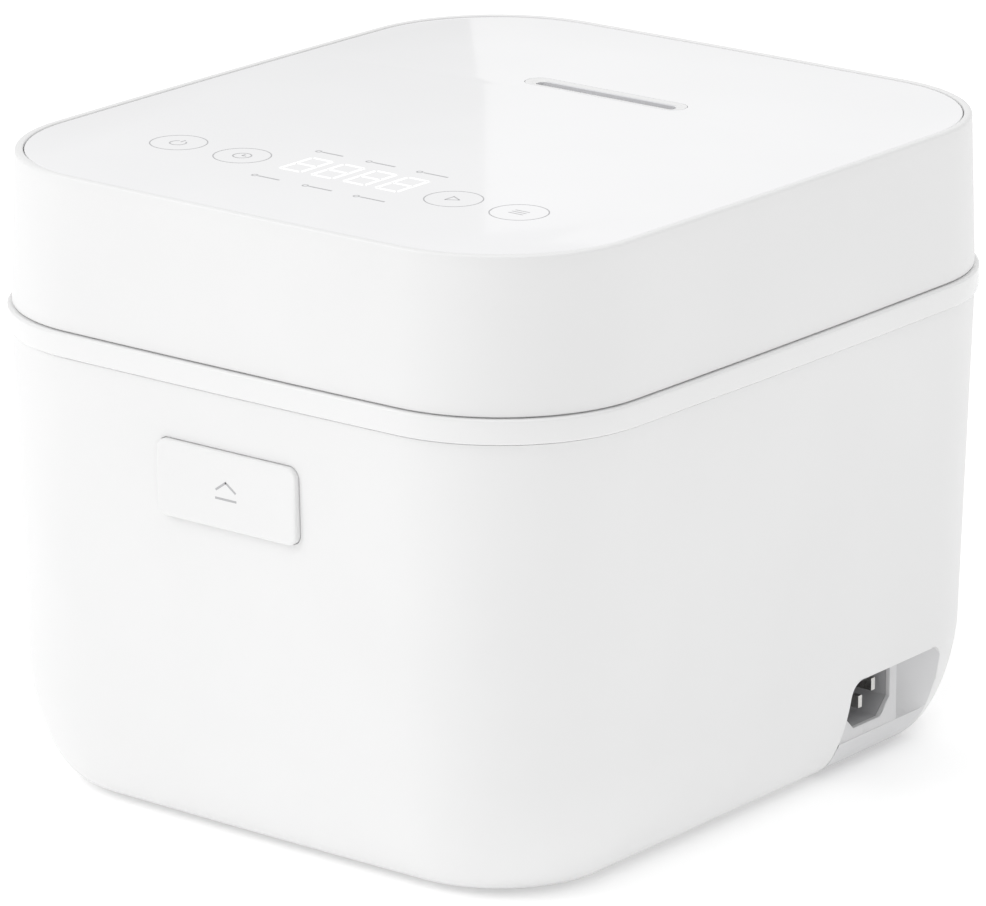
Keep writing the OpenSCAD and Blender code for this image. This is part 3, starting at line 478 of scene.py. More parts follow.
def cutBox(bm, low, high, radius):
    # the same with a box
    cutter = bmesh.new()
    softBox(cutter, low, high, radius, 3)
    return cutAway(bm, cutter)


# inset and draft (degrees) set how the wall leans in from the band, the round values its curve to the foot,
# and floorOut and floorIn where the loops of its floor stand
bodySettings = {"inset": 1.2, "draft": 1.79, "wall": 2.8, "roundWide": 13.8, "roundHigh": 36.3,
                "roundFull": 1.75, "corner": 50.6, "cornerDraw": 0.8, "crown": 1.6, "crownFade": 0.35,
                "crownDepth": 140.0, "reveal": 0.32, "bandHigh": 7.8,
                "floorOut": (13.5, 6), "floorIn": (3, 10.7)}
bodyTop = seamZ - bodySettings["bandHigh"]
bodyFoot = shellLow.z
buttonLow, buttonHigh = nodeBox("release_button")
potLow, potHigh = nodeBox("inner_pot")
flangeZ = potHigh.z
spoutLow = nodeBox("drain_spout")[0]


def bodyInset(z, s=bodySettings):
    # how far the body's wall stands inside the band at this height
    up = z - bodyFoot
    lean = s["inset"] + (bodyTop - z) * math.tan(math.radians(s["draft"]))
    if up >= s["roundHigh"]:
        return lean
    share = (s["roundHigh"] - up) / s["roundHigh"]
    return lean + s["roundWide"] * (1 - (1 - share ** s["roundFull"]) ** (1 / s["roundFull"]))


def cornerAt(inset, s=bodySettings):  # a corner tightens as the outline draws in
    return s["corner"] - inset * s["cornerDraw"]


def crownAt(z, s=bodySettings):  # the sides bow out a little less towards the foot
    return s["crown"] * (1 - min(max((bodyTop - z) / s["crownDepth"], 0), 1) * s["crownFade"])


def bandLoop(inset, z):
    # the body's outline at this height, inset from the band
    return roundedLoop(halfBand[0] - inset, halfBand[1] - inset, cornerAt(inset), z, crownAt(z))


def bodyHeights(s=bodySettings, roundSteps=12, wallSteps=16):
    foot = []
    for i in range(roundSteps + 1):
        a = math.pi / 2 * i / roundSteps
        foot.append(bodyFoot + s["roundHigh"] * (1 - math.cos(a) ** (2 / s["roundFull"])))
    top = foot[-1]
    return foot + [top + (bodyTop - s["reveal"] - top) * (i + 1) / wallSteps for i in range(wallSteps)]


buttonSettings = {"width": 55.0, "height": 24.5, "corner": 3.5, "up": 117.2, "edge": 0.9, "gap": 0.16,
                  "dish": 0.25, "flange": 2.5}
# front, back, low and high are the recess's edges, plateBack where its scoop starts
recessSettings = {"front": 37.7, "back": 87.0, "low": 12.4, "high": 34.0, "corner": 5.0, "plateBack": 68.9,
                  "step": 6.5, "sheet": 1.5, "slit": 0.12, "riseSteps": 10, "plateSteps": 12,
                  "scoopSteps": 18}
socketSettings = {"centreY": 53.0, "centreZ": 24.2, "width": 25.0, "height": 17.0, "cut": 5.5, "depth": 14.0,
                  "flangeY": 1.8, "flangeZ": 1.6}
spoutSettings = {"radius": 4.2, "bodyGap": 0.5, "collarGap": 0.15}


def buttonLoop(grow, corner, z, sides=6, b=buttonSettings):  # the button's outline, lying flat
    return roundedLoop(b["width"] / 2 + grow, b["height"] / 2 + grow, corner, z, 0, 8, sides)


def buildBody(s=bodySettings, b=buttonSettings, r=recessSettings, d=spoutSettings):
    bm = bmesh.new()
    heights = bodyHeights()
    foot, wall, reach = bodyInset(bodyFoot), s["wall"], 8
    rows = [bandLoop(foot + step, bodyFoot) for step in s["floorOut"]]
    rows += [bandLoop(bodyInset(z), z) for z in heights]
    rows += [bandLoop(bodyInset(z) + wall, z) for z in reversed(heights) if z > bodyFoot + wall + 0.5]
    rows += [bandLoop(foot + wall + step, bodyFoot + wall) for step in s["floorIn"]]
    loft(bm, rows)
    window = [buttonLoop(b["gap"], b["corner"] + b["gap"], z, 2) for z in (-reach, reach)]
    bm = cutPlug(bm, window, facingFront, (buttonLow.y + 2, b["up"]))
    wide, drop = r["back"] - r["front"], r["high"] + 20
    apron, beyond = nodeBox("inlet_recess")[0].x - 0.2, 150
    bm = cutPlug(bm, [roundedLoop(wide / 2, drop / 2, r["corner"], z, 0, 8, 2) for z in (apron, beyond)],
                 facingSide, (0, (r["back"] + r["front"]) / 2, r["high"] - drop / 2))
    bm = cutRound(bm, d["radius"] + d["bodyGap"], -10, 12, 32, facing=facingFront,
                  place=(halfBand[1] - 6, spoutLow.z + d["radius"]))

    def atCuts(p):
        atButton = p.y < -halfBand[1] + 30 and abs(p.x) < b["width"] / 2 + 2 and abs(p.z - b["up"]) < 14
        atInlet = p.x > halfBand[0] - 30 and r["front"] - 1 < p.y < r["back"] + 1 and p.z < r["high"] + 1
        return atButton or (atInlet and p.z > bodyFoot + 0.5)

    easeEdges(bm, 0.35, 50, atCuts)
    return finishPiece(bm, "bodyShell", "body", satinAbs, ["body_shell"])


# deckDown and underDown are below the seam, deckIn in from the band, curb the ring under the mouth
collarSettings = {"lidIn": 1.4, "skirt": 6.0, "fit": 0.15, "deckDown": 0.6, "underDown": 3.0, "deckIn": 12.0,
                  "curbDown": 4.8, "curbWide": 2.4}


def buildCollar(s=bodySettings, c=collarSettings, d=spoutSettings):
    bm = bmesh.new()
    lean = bodyInset(bodyTop - c["skirt"]) + s["wall"] + c["fit"]
    mouth = nodeBox("pot_seat_ring")[1].x + c["fit"]
    deck, under, curb = seamZ - c["deckDown"], seamZ - c["underDown"], flangeZ - c["curbDown"]
    section = softProfile([
        (lean + 2, bodyTop - c["skirt"], 0.3), (lean, bodyTop - c["skirt"], 0.3), (lean, bodyTop, 0),
        (s["inset"] - 0.5, bodyTop, 0.3), (0.05, bodyTop + 0.4, 0.45), (0, deck, 0.55), (0.6, seamZ, 0.4),
        (c["lidIn"] + 1.5, seamZ, 0.3), (c["lidIn"] + 2.3, deck, 0.3), (c["deckIn"], deck, 0)], 3)

    def onMouth(p, out, z):  # the point of the round mouth that lies on this point's bearing
        return Vector((p.x, p.y, 0)).normalized() * (mouth + out) + Vector((0, 0, z))

    def inwards(z, steps=8):  # loops from the outline in towards the mouth
        return [[p.lerp(onMouth(p, 0, z), k / steps) for p in bandLoop(c["deckIn"], z)]
                for k in range(1, steps)]

    wide = c["curbWide"]
    lip = ((0.7, deck), (0.2, deck - 0.2), (0, deck - 0.7), (0, curb), (wide, curb), (wide, under))
    rows = [bandLoop(inset, z) for inset, z in section] + inwards(deck)
    rows += [[onMouth(p, out, z) for p in bandLoop(c["deckIn"], deck)] for out, z in lip]
    rows += inwards(under)[::-1] + [bandLoop(lean + 2, under)]
    loft(bm, rows)
    hookLow, hookHigh = nodeBox("latch_hook")
    below, above = deck - 6, deck + 6
    bm = cutBox(bm, (hookLow.x - 1, hookLow.y - 3.6, below), (hookHigh.x + 1, hookLow.y + 8.4, above), 1)
    bm = cutRound(bm, d["radius"] + d["collarGap"], below, above, 40, (0, spoutLow.y + d["radius"]))
    return finishPiece(bm, "bodyCollar", "body", polishedAbs, ["body_collar"])


lidSettings = {"lowInset": 1.4, "lean": 1.6, "rimWidth": 2.4, "wall": 2.8, "ledge": 4.5, "panelGap": 0.35,
               "panelThick": 2.0, "rimDrop": 0.3, "lip": 0.5, "notchUp": 9.2, "bossBore": 1.5, "bossOut": 3.6}


def lidInset(z, s=lidSettings):
    return s["lowInset"] + s["lean"] * (z - lidLow.z) / (rimZ - lidLow.z)


def buildLid(s=lidSettings, wallSteps=8):
    bm = bmesh.new()
    low, top = lidLow.z - seamDrop - s["lip"] * 0.8, rimZ
    rimIn = lidInset(top) + s["rimWidth"]
    panelZ = top - s["rimDrop"] - s["panelThick"]
    heights = [low + step * (top - low) / wallSteps for step in range(1, wallSteps)]
    section = softProfile(
        [(s["lowInset"], low, 0.45)] + [(lidInset(z), z, 0) for z in heights] + [
            (lidInset(top), top, 1.1), (rimIn, top, 0.45), (rimIn, panelZ, 0.2),
            (rimIn + s["ledge"], panelZ, 0.3), (rimIn + s["ledge"], panelZ - 2, 0.3),
            (lidInset(top) + s["wall"], panelZ - 5, 1), (s["lowInset"] + s["wall"], low - s["lip"], 0.2),
            (s["lowInset"] + 1.2, low - s["lip"], 0.2), (s["lowInset"] + 1.2, low, 0.1)], 4)
    loft(bm, [bandLoop(inset, z) for inset, z in section])
    hingeLow, hingeHigh = nodeBox("lid_hinge")
    bm = cutBox(bm, (hingeLow.x - 1, halfBand[1] - 40, low - 1),
                (hingeHigh.x + 1, halfBand[1] + 10, lidLow.z + s["notchUp"]), 1.2)
    bore, out, foot, head = s["bossBore"], s["bossOut"], low + 2.6, panelZ - 1
    for place in screwPlaces:
        spunShape(bm, [[bore, foot], [out, foot], [out, head], [bore, head]], 24, place)
    return finishPiece(bm, "lidShell", "lid", satinAbs, ["lid_shell"])


# the lid's screws: two at each side, so far from the ends, and two at the front
screwSettings = {"headRadius": 3.0, "fromEnd": 62.0, "frontX": 44.0}
screwLow, screwHigh = nodeBox("lid_screws")
sideX, sideY = screwHigh.x - screwSettings["headRadius"], halfBand[1] - screwSettings["fromEnd"]
frontX, frontY = screwSettings["frontX"], screwLow.y + screwSettings["headRadius"]
screwPlaces = [(side * x, y) for side in (-1, 1)
               for x, y in ((sideX, sideY), (sideX, -sideY), (frontX, frontY))]
ventSettings = {"length": 63.0, "width": 10.0, "slotLength": 55.0, "slotWidth": 4.8, "lip": 0.9,
                "flange": 4.0, "gap": 0.3}
panelLow, panelHigh = nodeBox("top_panel")
bezelLow, bezelHigh = nodeBox("vent_bezel")
ventY = (bezelLow.y + bezelHigh.y) / 2


def slotLoop(length, width, z):  # a slot with round ends, at the vent
    loop = roundedLoop(length / 2, width / 2, width / 2 - 0.01, z, 0, 12, 6)
    return [p + Vector((0, ventY, 0)) for p in loop]


def buildPanel(s=lidSettings, v=ventSettings):
    bm = bmesh.new()
    inset, reach = lidInset(rimZ) + s["rimWidth"] + s["panelGap"], 5
    low, high = panelLow.z, panelHigh.z
    inner = inset + 20
    edge = softProfile([(inner, low, 0), (inset, low, 0.3), (inset, high, 0.35), (inner, high, 0)], 4)
    plugOf(bm, [bandLoop(a, z) for a, z in edge[1:-1]])
    bm = cutPlug(bm, [slotLoop(v["length"], v["width"], z) for z in (low - reach, high + reach)])
    return finishPiece(bm, "topPanel", "lid", glossPmma, ["top_panel"])


def buildBezel(v=ventSettings):
    bm = bmesh.new()
    top, low, flange = panelHigh.z, bezelLow.z, panelLow.z - 0.1
    gap, out, lip = v["gap"], v["flange"] + v["gap"], v["lip"]
    section = [(out, low), (out, flange), (0, flange), (0, top - 0.25), (-0.35, top), (-lip * 2, top),
               (-lip * 2 - 2.6, top - 0.25)]
    rows = [slotLoop(v["length"] - gap + grow, v["width"] - gap + grow, z) for grow, z in section]
    rows += [slotLoop(v["slotLength"], v["slotWidth"], z) for z in (top - 0.6, low)]
    loft(bm, rows)
    for face in bm.faces:  # the upright walls take the grey, painted shade inside the slot
        if abs(face.normal.z) < 0.75:
            face.material_index = 1
    return finishPiece(bm, "ventBezel", "lid", [polishedAbs, slotShadeGrey], ["vent_bezel"])


def buildButton(b=buttonSettings):
    bm = bmesh.new()
    frameY = nodeBox("button_frame")[0].y
    front, back, flange = -buttonLow.y, -(frameY + 1.6), b["flange"]
    outline = softProfile([(flange, back, 0.3), (flange, -frameY, 0.3), (0, -frameY, 0.2),
                           (0, front, b["edge"]), (-8, front, 0)], 5)[:-1]
    rows = [buttonLoop(grow, max(b["corner"] + grow, 1), up) for grow, up in outline]
    deepest = 9  # the face is hollow from its edge to this far in
    rows += [buttonLoop(-inside, 1, front - b["dish"] * inside / deepest) for inside in (2, 5, deepest)]
    plugOf(bm, rows)
    facingFront(bm, 0, b["up"])
    softBox(bm, (-4, frameY + 1, b["up"] - 1.5), (4, buttonHigh.y, b["up"] + 1.5), 0.3, 2)
    return finishPiece(bm, "releaseButton", "button", satinAbs, ["release_button"])


def wallX(y, z):
    # how far out the body's side stands at this place
    inset, crown = bodyInset(z), crownAt(z)
    halfX, halfY = halfBand[0] - inset, halfBand[1] - inset
    radius = cornerAt(inset)
    flat = halfX
    for step in range(3):
        raw = abs(y) / (1 - crown / halfY * (flat / halfX) ** 2)
        past = raw - (halfY - radius)
        flat = halfX if past <= 0 else halfX - radius + math.sqrt(max(radius ** 2 - past ** 2, 0))
    return flat * (1 - crown / halfX * (raw / halfY) ** 2)


def buildRecess(r=recessSettings, k=socketSettings):
    plateX = wallX(k["centreY"], r["low"]) - 0.25
    front, back = r["front"] + r["slit"], r["back"] - r["slit"]

    def evenly(first, last, steps):
        return [first + (last - first) * i / steps for i in range(steps + 1)]

    scoop = evenly(r["plateBack"] + 0.3, back, r["scoopSteps"])
    plate = evenly(front + 0.05, r["plateBack"], r["plateSteps"])
    across = [(front, "edge")] + [(y, "plate") for y in plate] + [(y, "scoop") for y in scoop]
    quarter = evenly(0, math.pi / 2, r["riseSteps"])
    feet = [bodyFoot + (r["low"] - bodyFoot) * (1 - math.cos(a)) for a in quarter]
    heights = [bodyFoot] + feet + evenly(r["low"] + 0.15, r["high"] - 0.15, r["riseSteps"])
    heights.append(heights[-1] + 0.05)
    inner = nodeBox("inlet_recess")[0].x + 0.3
    bm = bmesh.new()
    columns, rows = len(across) - 1, len(heights) - 1
    grid = bmesh.ops.create_grid(bm, x_segments=columns, y_segments=rows, size=1)["verts"]
    for vert in grid:
        i, j = round((vert.co.x + 1) / 2 * columns), round((vert.co.y + 1) / 2 * rows)
        (y, kind), z = across[i], heights[j]
        outside = wallX(y, z)
        if j == 0:
            x = inner
        elif j <= len(feet):
            x = outside
        elif j == rows or kind == "edge":
            x = outside - bodySettings["wall"] - 0.1
        elif kind == "plate":
            x = min(plateX, outside)
        else:
            share = (y - scoop[0]) / (scoop[-1] - scoop[0])
            dip = r["step"] * min(1, max(0, z - r["low"]) / 9) ** 0.6 * math.sin(math.pi * share ** 0.5)
            x = plateX + (outside - 0.1 - plateX) * share ** 1.6 - dip
        vert.co = Vector((x, y, z))
    bmesh.ops.recalc_face_normals(bm, faces=bm.faces[:])
    if sum(f.normal.x for f in bm.faces) < 0:
        bmesh.ops.reverse_faces(bm, faces=bm.faces[:])
    bmesh.ops.solidify(bm, geom=bm.faces[:], thickness=r["sheet"])
    reach = 8
    bm = cutPlug(bm, [socketLoop(z) for z in (plateX - reach, plateX + reach)],
                 facingSide, (0, k["centreY"], k["centreZ"]))

    def atSocket(p):
        return abs(p.x - plateX) < 0.02 and abs(p.y - k["centreY"]) < k["width"] / 2 + 0.1

    easeEdges(bm, 0.25, 60, atSocket)
    return finishPiece(bm, "inletRecess", "body", greyAbs, ["inlet_recess"])


def socketLoop(z, k=socketSettings):  # the socket's opening with its two cut corners, lying flat
    w, h, c = k["width"] / 2, k["height"] / 2, k["cut"]
    return [Vector(p + (z,)) for p in ((w, h), (-w, h), (-w, -h + c), (-w + c, -h), (w - c, -h), (w, -h + c))]


def buildSocket(k=socketSettings):
    inletLow, inletHigh = nodeBox("power_inlet")
    bm = bmesh.new()
    face, y, z = inletHigh.x, k["centreY"], k["centreZ"]
    halfY, halfZ = k["width"] / 2 + k["flangeY"], k["height"] / 2 + k["flangeZ"]
    softBox(bm, (inletLow.x, y - halfY, z - halfZ), (face, y + halfY, z + halfZ), 0.5, 3)
    bm = cutPlug(bm, [socketLoop(x) for x in (face - k["depth"], face + 6)], facingSide, (0, y, z))
    easeEdges(bm, 0.4, 40, lambda p: p.x > face - 0.2)
    return finishPiece(bm, "powerInlet", "body", darkPbt, ["power_inlet"])


pieces = [build() for build in (buildBody, buildCollar, buildLid, buildPanel, buildBezel, buildButton,
                                buildRecess, buildSocket)]
print("outer shells built")


def spunPiece(name, node, material, section, body):  # turned about the pot's axis
    bm = bmesh.new()
    spunShape(bm, softProfile(section, 4), 128)
    return finishPiece(bm, name, body, material, [node])


# flange is how far the rim stands out from the wall, turn the radius between wall and floor
potSettings = {"wall": 1.8, "flange": 5.3, "rimThick": 1.8, "turn": 28.0, "turnSteps": 14}
potOut = potHigh.x - potSettings["flange"]
potIn = potOut - potSettings["wall"]
potFloor = potLow.z + potSettings["wall"]


def buildPot(s=potSettings):
    rim, top, floor, turn, wall = potHigh.x, potHigh.z, potLow.z, s["turn"], s["wall"]
    quarter = [math.pi / 2 * i / s["turnSteps"] for i in range(s["turnSteps"] + 1)]
    outside = [(potOut - turn + turn * math.sin(a), floor + turn - turn * math.cos(a), 0) for a in quarter]
    inside = [(x - wall * (x - potOut + turn) / turn, z + wall * (floor + turn - z) / turn, 0)
              for x, z, r in outside]
    under = top - s["rimThick"]
    section = [(0, floor, 0)] + outside + [(potOut, under, 0.6), (rim, under, 0.5), (rim, top, 0.9)]
    section += [(potIn, top, 1.4)] + inside[::-1] + [(0, potFloor, 0)]
    bm = bmesh.new()
    spunShape(bm, softProfile(section, 4), 144)
    return finishPiece(bm, "innerPot", "pot", bakedPtfe, ["inner_pot"])


def markBox(bm, centre, across, up, normal, width, height, thick):
    # a thin printed bar, lying on a surface
    made = bmesh.ops.create_cube(bm, size=1)["verts"]
    for vert in made:
        vert.co = (Vector(centre) + Vector(across) * vert.co.x * width + Vector(up) * vert.co.y * height
                   + Vector(normal) * (vert.co.z * thick))


segmentPlaces = {"a": (0, 1, 0), "b": (1, 0.5, 1), "c": (1, -0.5, 1), "d": (0, -1, 0), "e": (-1, -0.5, 1),
                 "f": (-1, 0.5, 1), "g": (0, 0, 0)}
digitSegments = {"1": "bc", "2": "abged", "3": "abgcd", "4": "fgbc", "5": "afgcd", "6": "afgedc",
                 "8": "abcdefg"}


def drawDigit(bm, digit, centre, across, up, normal, width, height, line, thick):
    for key in digitSegments[digit]:
        dx, dy, upright = segmentPlaces[key]
        place = (Vector(centre) + Vector(across) * dx * (width - line) / 2
                 + Vector(up) * dy * (height - line) / 2)
        length = (height - line) / 2 - line * 0.25 if upright else width - line * 1.3
        sides = (line, length) if upright else (length, line)
        markBox(bm, place, across, up, normal, sides[0], sides[1], thick)


# heights above the pot's floor, and turns in degrees from the pot's right side
fillSettings = {"levels": 6, "first": 33.0, "pitch": 11.0, "columns": ((-1, 60), (1, 120)), "dashes": 5,
                "dashTurn": 1.6, "dash": (2.7, 0.5), "digitTurn": 6.2, "digit": (3.0, 5.2, 0.6),
                "thick": 0.05}


def onPotWall(degrees, z, sunk):  # a place on the pot's wall, and the directions along, up and out of it
    turn = math.radians(degrees)
    out = Vector((math.cos(turn), math.sin(turn), 0))
    return out * (potIn - sunk) + Vector((0, 0, z)), out.cross((0, 0, 1)), (0, 0, 1), out


def buildPotMarks(s=fillSettings):
    # fill lines with plain numbers, printed on the wall of the pot
    bm = bmesh.new()
    for level in range(s["levels"]):
        z = potFloor + s["first"] + s["pitch"] * level
        for side, turn in s["columns"]:
            for step in range(s["dashes"]):
                dashAt = turn + (step - s["dashes"] // 2) * s["dashTurn"]
                markBox(bm, *onPotWall(dashAt, z, 0.03), *s["dash"], s["thick"])
            digitAt = turn + side * s["digitTurn"]
            drawDigit(bm, str(level + 1), *onPotWall(digitAt, z, 0.04), *s["digit"], s["thick"])
    return finishPiece(bm, "potMarks", "pot", potInk)


# ribs are the radii between which the sheet is pressed up a little
innerLidSettings = {"bore": 5.0, "ribs": ((16, 18), (54, 56), (72, 74)), "raise": 0.25, "holeRadius": 2.5,
                    "holeX": (-20, -10, 0, 10, 20)}


def buildInnerLid(s=innerLidSettings):
    low, high = nodeBox("inner_lid")
    base, r, raised = low.z, high.x, low.z + s["raise"]
    (a, b), (c, d), (e, f) = s["ribs"]
    section = [(s["bore"], base, 0.2), (a, base, 0.5), (b, raised, 0.5), (c, raised, 0.5), (d, base, 0.5),
               (e, base, 0.5), (f, raised, 0.5), (r - 3, raised, 0.5), (r, base, 0.3), (r, high.z, 0.2),
               (s["bore"], high.z, 0.2)]
    bm = bmesh.new()
    spunShape(bm, softProfile(section, 3), 144)
    for x in s["holeX"]:
        bm = cutRound(bm, s["holeRadius"], base - 3, base + 4, 32, (x, ventY))
    return finishPiece(bm, "innerLid", "lid", spunAluminium, ["inner_lid"])


def buildSeal():
    top = nodeBox("lid_seal")[1].z
    inner, outer, base = nodeBox("inner_lid")[1].x, potHigh.x, flangeZ
    return spunPiece("lidSeal", "lid_seal", pressedSilicone, [
        (inner + 0.2, base + 0.5, 0.2), (potIn + 1.4, base + 0.5, 0.5), (potIn + 2, base + 0.1, 0.4),
        (outer - 1.4, base + 0.1, 0.5), (outer - 0.9, base + 1.2, 0.5), (outer - 3, top, 0.8),
        (inner - 1, top, 0.3), (inner - 1, base + 1.9, 0.3), (inner + 0.2, base + 1.9, 0.2)], "lid")


heaterSettings = {"bore": 16.0, "slopeWide": 12.0, "slopeHigh": 2.5}


def buildHeater(s=heaterSettings):
    low, high = nodeBox("heating_plate")
    r = high.x
    return spunPiece("heatingPlate", "heating_plate", castAluminium, [
        (s["bore"], low.z, 0.5), (r, low.z, 0.5), (r, high.z - s["slopeHigh"], 1.2),
        (r - s["slopeWide"], high.z, 4), (s["bore"], high.z, 0.8)], "body")


cupSettings = {"radius": 14.5, "brim": 18.0, "wall": 1.2, "top": 1.4}


def buildSensor(s=cupSettings):
    low, high = nodeBox("sensor_cup")
    r, brimZ, underZ = s["radius"], low.z + s["wall"], high.z - s["top"]
    return spunPiece("sensorCup", "sensor_cup", spunAluminium, [
        (0, high.z, 0), (r, high.z, 1.6), (r, brimZ, 0.6), (s["brim"], brimZ, 0.3), (s["brim"], low.z, 0.3),
        (r - s["wall"], low.z, 0.6), (r - s["wall"], underZ, 0.8), (0, underZ, 0)], "sensor")


wellSettings = {"opening": 80.0, "potGap": 3.0, "wall": 1.0, "floor": 1.2}


def buildWell(s=wellSettings):
    low, high = nodeBox("pot_well")
    r, wall, floorZ = potOut + s["potGap"], s["wall"], low.z + s["floor"]
    return spunPiece("potWell", "pot_well", spunAluminium, [
        (s["opening"], low.z, 0.3), (r + wall, low.z, 1.6), (r + wall, high.z - wall, 0.8),
        (high.x, high.z - wall, 0.2), (high.x, high.z, 0.2), (r, high.z, 1.2), (r, floorZ, 1.2),
        (s["opening"], floorZ, 0.3)], "body")


def buildFeet(radius=9.0):
    low, high = nodeBox("rubber_feet")
    bm = bmesh.new()
    foot = softProfile([(0, 0, 0), (radius - 0.8, 0, 0.5), (radius, 0.6, 0.4), (radius, high.z, 0.1),
                        (0, high.z, 0)], 3)
    for x in (low.x + radius, high.x - radius):
        for y in (low.y + radius, high.y - radius):
            spunShape(bm, foot, 48, (x, y))
    return finishPiece(bm, "rubberFeet", "body", matteRubber, ["rubber_feet"])


pieces += [build() for build in (buildPot, buildPotMarks, buildInnerLid, buildSeal, buildHeater, buildSensor,
                                 buildWell, buildFeet)]
print("turned pieces built")


def springShape(bm, start, axis, length, radius, wire, turns, perTurn=28, closedEnds=0.75):
    # a helix of round wire whose end turns lie closed
    axis = Vector(axis).normalized()
    side = axis.orthogonal().normalized()
    steps = int(turns * perTurn)
    rise = length - 2 * wire
    weights = [0.25 if min(i, steps - 1 - i) < closedEnds * perTurn else 1.0 for i in range(steps)]
    total = sum(weights)
    first = Vector(start) + axis * wire + side * radius
    made = bmesh.ops.create_circle(bm, segments=10, radius=wire)["verts"]
    across = axis.cross(side)
    tilt = across.to_track_quat("Z", "Y").to_matrix().to_4x4()
    bmesh.ops.transform(bm, matrix=Matrix.Translation(first) @ tilt, verts=made)
    bmesh.ops.contextual_create(bm, geom=made)
    ring = list({e for v in made for e in v.link_edges})
    for weight in weights:
        out = bmesh.ops.spin(bm, geom=ring, cent=Vector(start), axis=axis, dvec=axis * rise * weight / total,
                             angle=2 * math.pi / perTurn, steps=1, use_merge=False, use_duplicate=False)
        last = out["geom_last"]
        ring = [g for g in last if isinstance(g, bmesh.types.BMEdge)]
    bmesh.ops.contextual_create(bm, geom=ring)


# radius is of the coil, to the middle of its wire; the upright one stands in the middle of the heater
springSettings = {
    "sensor_spring": {"piece": "sensorSpring", "radius": 9.0, "wire": 0.7, "turns": 5, "upright": True},
    "button_springs": {"piece": "buttonSprings", "radius": 3.4, "wire": 0.4, "turns": 4, "pair": True},
    "latch_spring": {"piece": "latchSpring", "radius": 2.6, "wire": 0.35, "turns": 4},
}


def buildSprings():
    made = []
    for node, s in springSettings.items():
        low, high = nodeBox(node)
        edge = s["radius"] + s["wire"]
        bm = bmesh.new()
        for x in (low.x + edge, high.x - edge) if s.get("pair") else (0,):
            if s.get("upright"):
                start, axis, length = (x, 0, low.z), (0, 0, 1), high.z - low.z
            else:
                start, axis, length = (x, low.y, (low.z + high.z) / 2), (0, 1, 0), high.y - low.y
            springShape(bm, start, axis, length, s["radius"], s["wire"], s["turns"])
        made.append(finishPiece(bm, s["piece"], "body", drawnSteel, [node], 60, 0.0005))
    return made


def wirePiece(name, points, radius, material, body, replaced=()):
    # an insulated wire along a smooth line through a few points
    curve = bpy.data.curves.new("work", "CURVE")
    curve.dimensions = "3D"
    curve.bevel_depth = radius
    curve.bevel_resolution = 4
    curve.resolution_u = 12
    curve.use_fill_caps = True
    line = curve.splines.new("BEZIER")
    line.bezier_points.add(len(points) - 1)
    for bezier, point in zip(line.bezier_points, points):
        bezier.co = point
        bezier.handle_left_type = bezier.handle_right_type = "AUTO"
    holder = bpy.data.objects.new("work", curve)
    bpy.context.scene.collection.objects.link(holder)
    bpy.context.view_layer.update()
    bm = bmesh.new()
    bm.from_mesh(holder.evaluated_get(bpy.context.evaluated_depsgraph_get()).to_mesh())
    bpy.data.objects.remove(holder)
    bpy.data.curves.remove(curve)
    return finishPiece(bm, name, body, material, replaced, 60, 0.0001)


def buildLeads(k=socketSettings):
    board = nodeBox("power_board")
    leads = nodeBox("inlet_leads")
    made = []
    for i, (name, material) in enumerate((("liveLead", brownPvc), ("neutralLead", bluePvc),
                                          ("earthLead", stripedPvc))):
        y = k["centreY"] - 4 + 4 * i
        points = [(leads[1].x, y, k["centreZ"] - 6), (leads[1].x - 10 + 3 * i, y, k["centreZ"] - 6),
                  (78 + 3 * i, board[0].y + 2 + 3 * i, board[0].z + 7),
                  (board[1].x, board[0].y + 8 + 3.2 * i, board[0].z + 10),
                  (board[1].x - 6, board[0].y + 8 + 3.2 * i, board[0].z + 10)]
        made.append(wirePiece(name, points, 1.2, material, "body", ["inlet_leads"]))
    return made


pieces += buildSprings() + buildLeads()
print("springs and wires built")

def easedCopy(node, name, body, slotName, material, radius):
    # a moulded piece whose first shape is right, with its edges softened
    bm = bmesh.new()
    bm.from_mesh(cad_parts[node].data)
    bmesh.ops.transform(bm, matrix=toRow.inverted(), verts=bm.verts[:])
    bmesh.ops.remove_doubles(bm, verts=bm.verts[:], dist=0.002)
    bmesh.ops.dissolve_limit(bm, angle_limit=math.radians(0.5), verts=bm.verts[:], edges=bm.edges[:])
    easeEdges(bm, radius, 35, clamp=True)
    return finishPiece(bm, name, body, material, [node], 40)


easedPieces = [
    ("rear_cover", "rearCover", "body", "white_abs", satinAbs, 0.6),
    ("water_box", "waterBox", "water_box", "water_box_clear", frostedPp, 0.5),
    ("lid_hinge", "lidHinge", "lid", "grey_abs", greyAbs, 0.6),
    ("hinge_bracket", "hingeBracket", "body", "zinc_steel", zincSteel, 0.4),
    ("latch_hook", "latchHook", "latch", "grey_abs", greyAbs, 0.4),
    ("lid_catch", "lidCatch", "lid", "zinc_steel", zincSteel, 0.4),
    ("button_frame", "buttonFrame", "body", "grey_abs", greyAbs, 0.3),
    ("latch_bracket", "latchBracket", "body", "zinc_steel", zincSteel, 0.3),
    ("bottom_cover", "bottomCover", "body", "grey_abs", greyAbs, 0.4),
    ("steam_duct", "steamDuct", "lid", "grey_abs", greyAbs, 0.4),
]


pieces += [easedCopy(*values) for values in easedPieces]
print("moulded pieces softened")

# the panel's marks: ring is the radius of a touch key's ring, line and thick are the ink's
markSettings = {"touchY": -76.0, "touchX": (-66, -40.2, 43, 68), "ring": 9.0, "line": 0.38, "thick": 0.03,
                "digitWidth": 9.6, "digitHeight": 17.0, "digitLine": 1.5, "digitPitch": 12.6, "digitY": -72.5,
                "digitX": 1.5, "upperY": -57.5, "lowerY": -91.5, "upperX": (-20, 0, 20),
                "lowerX": (-17, 3, 23)}


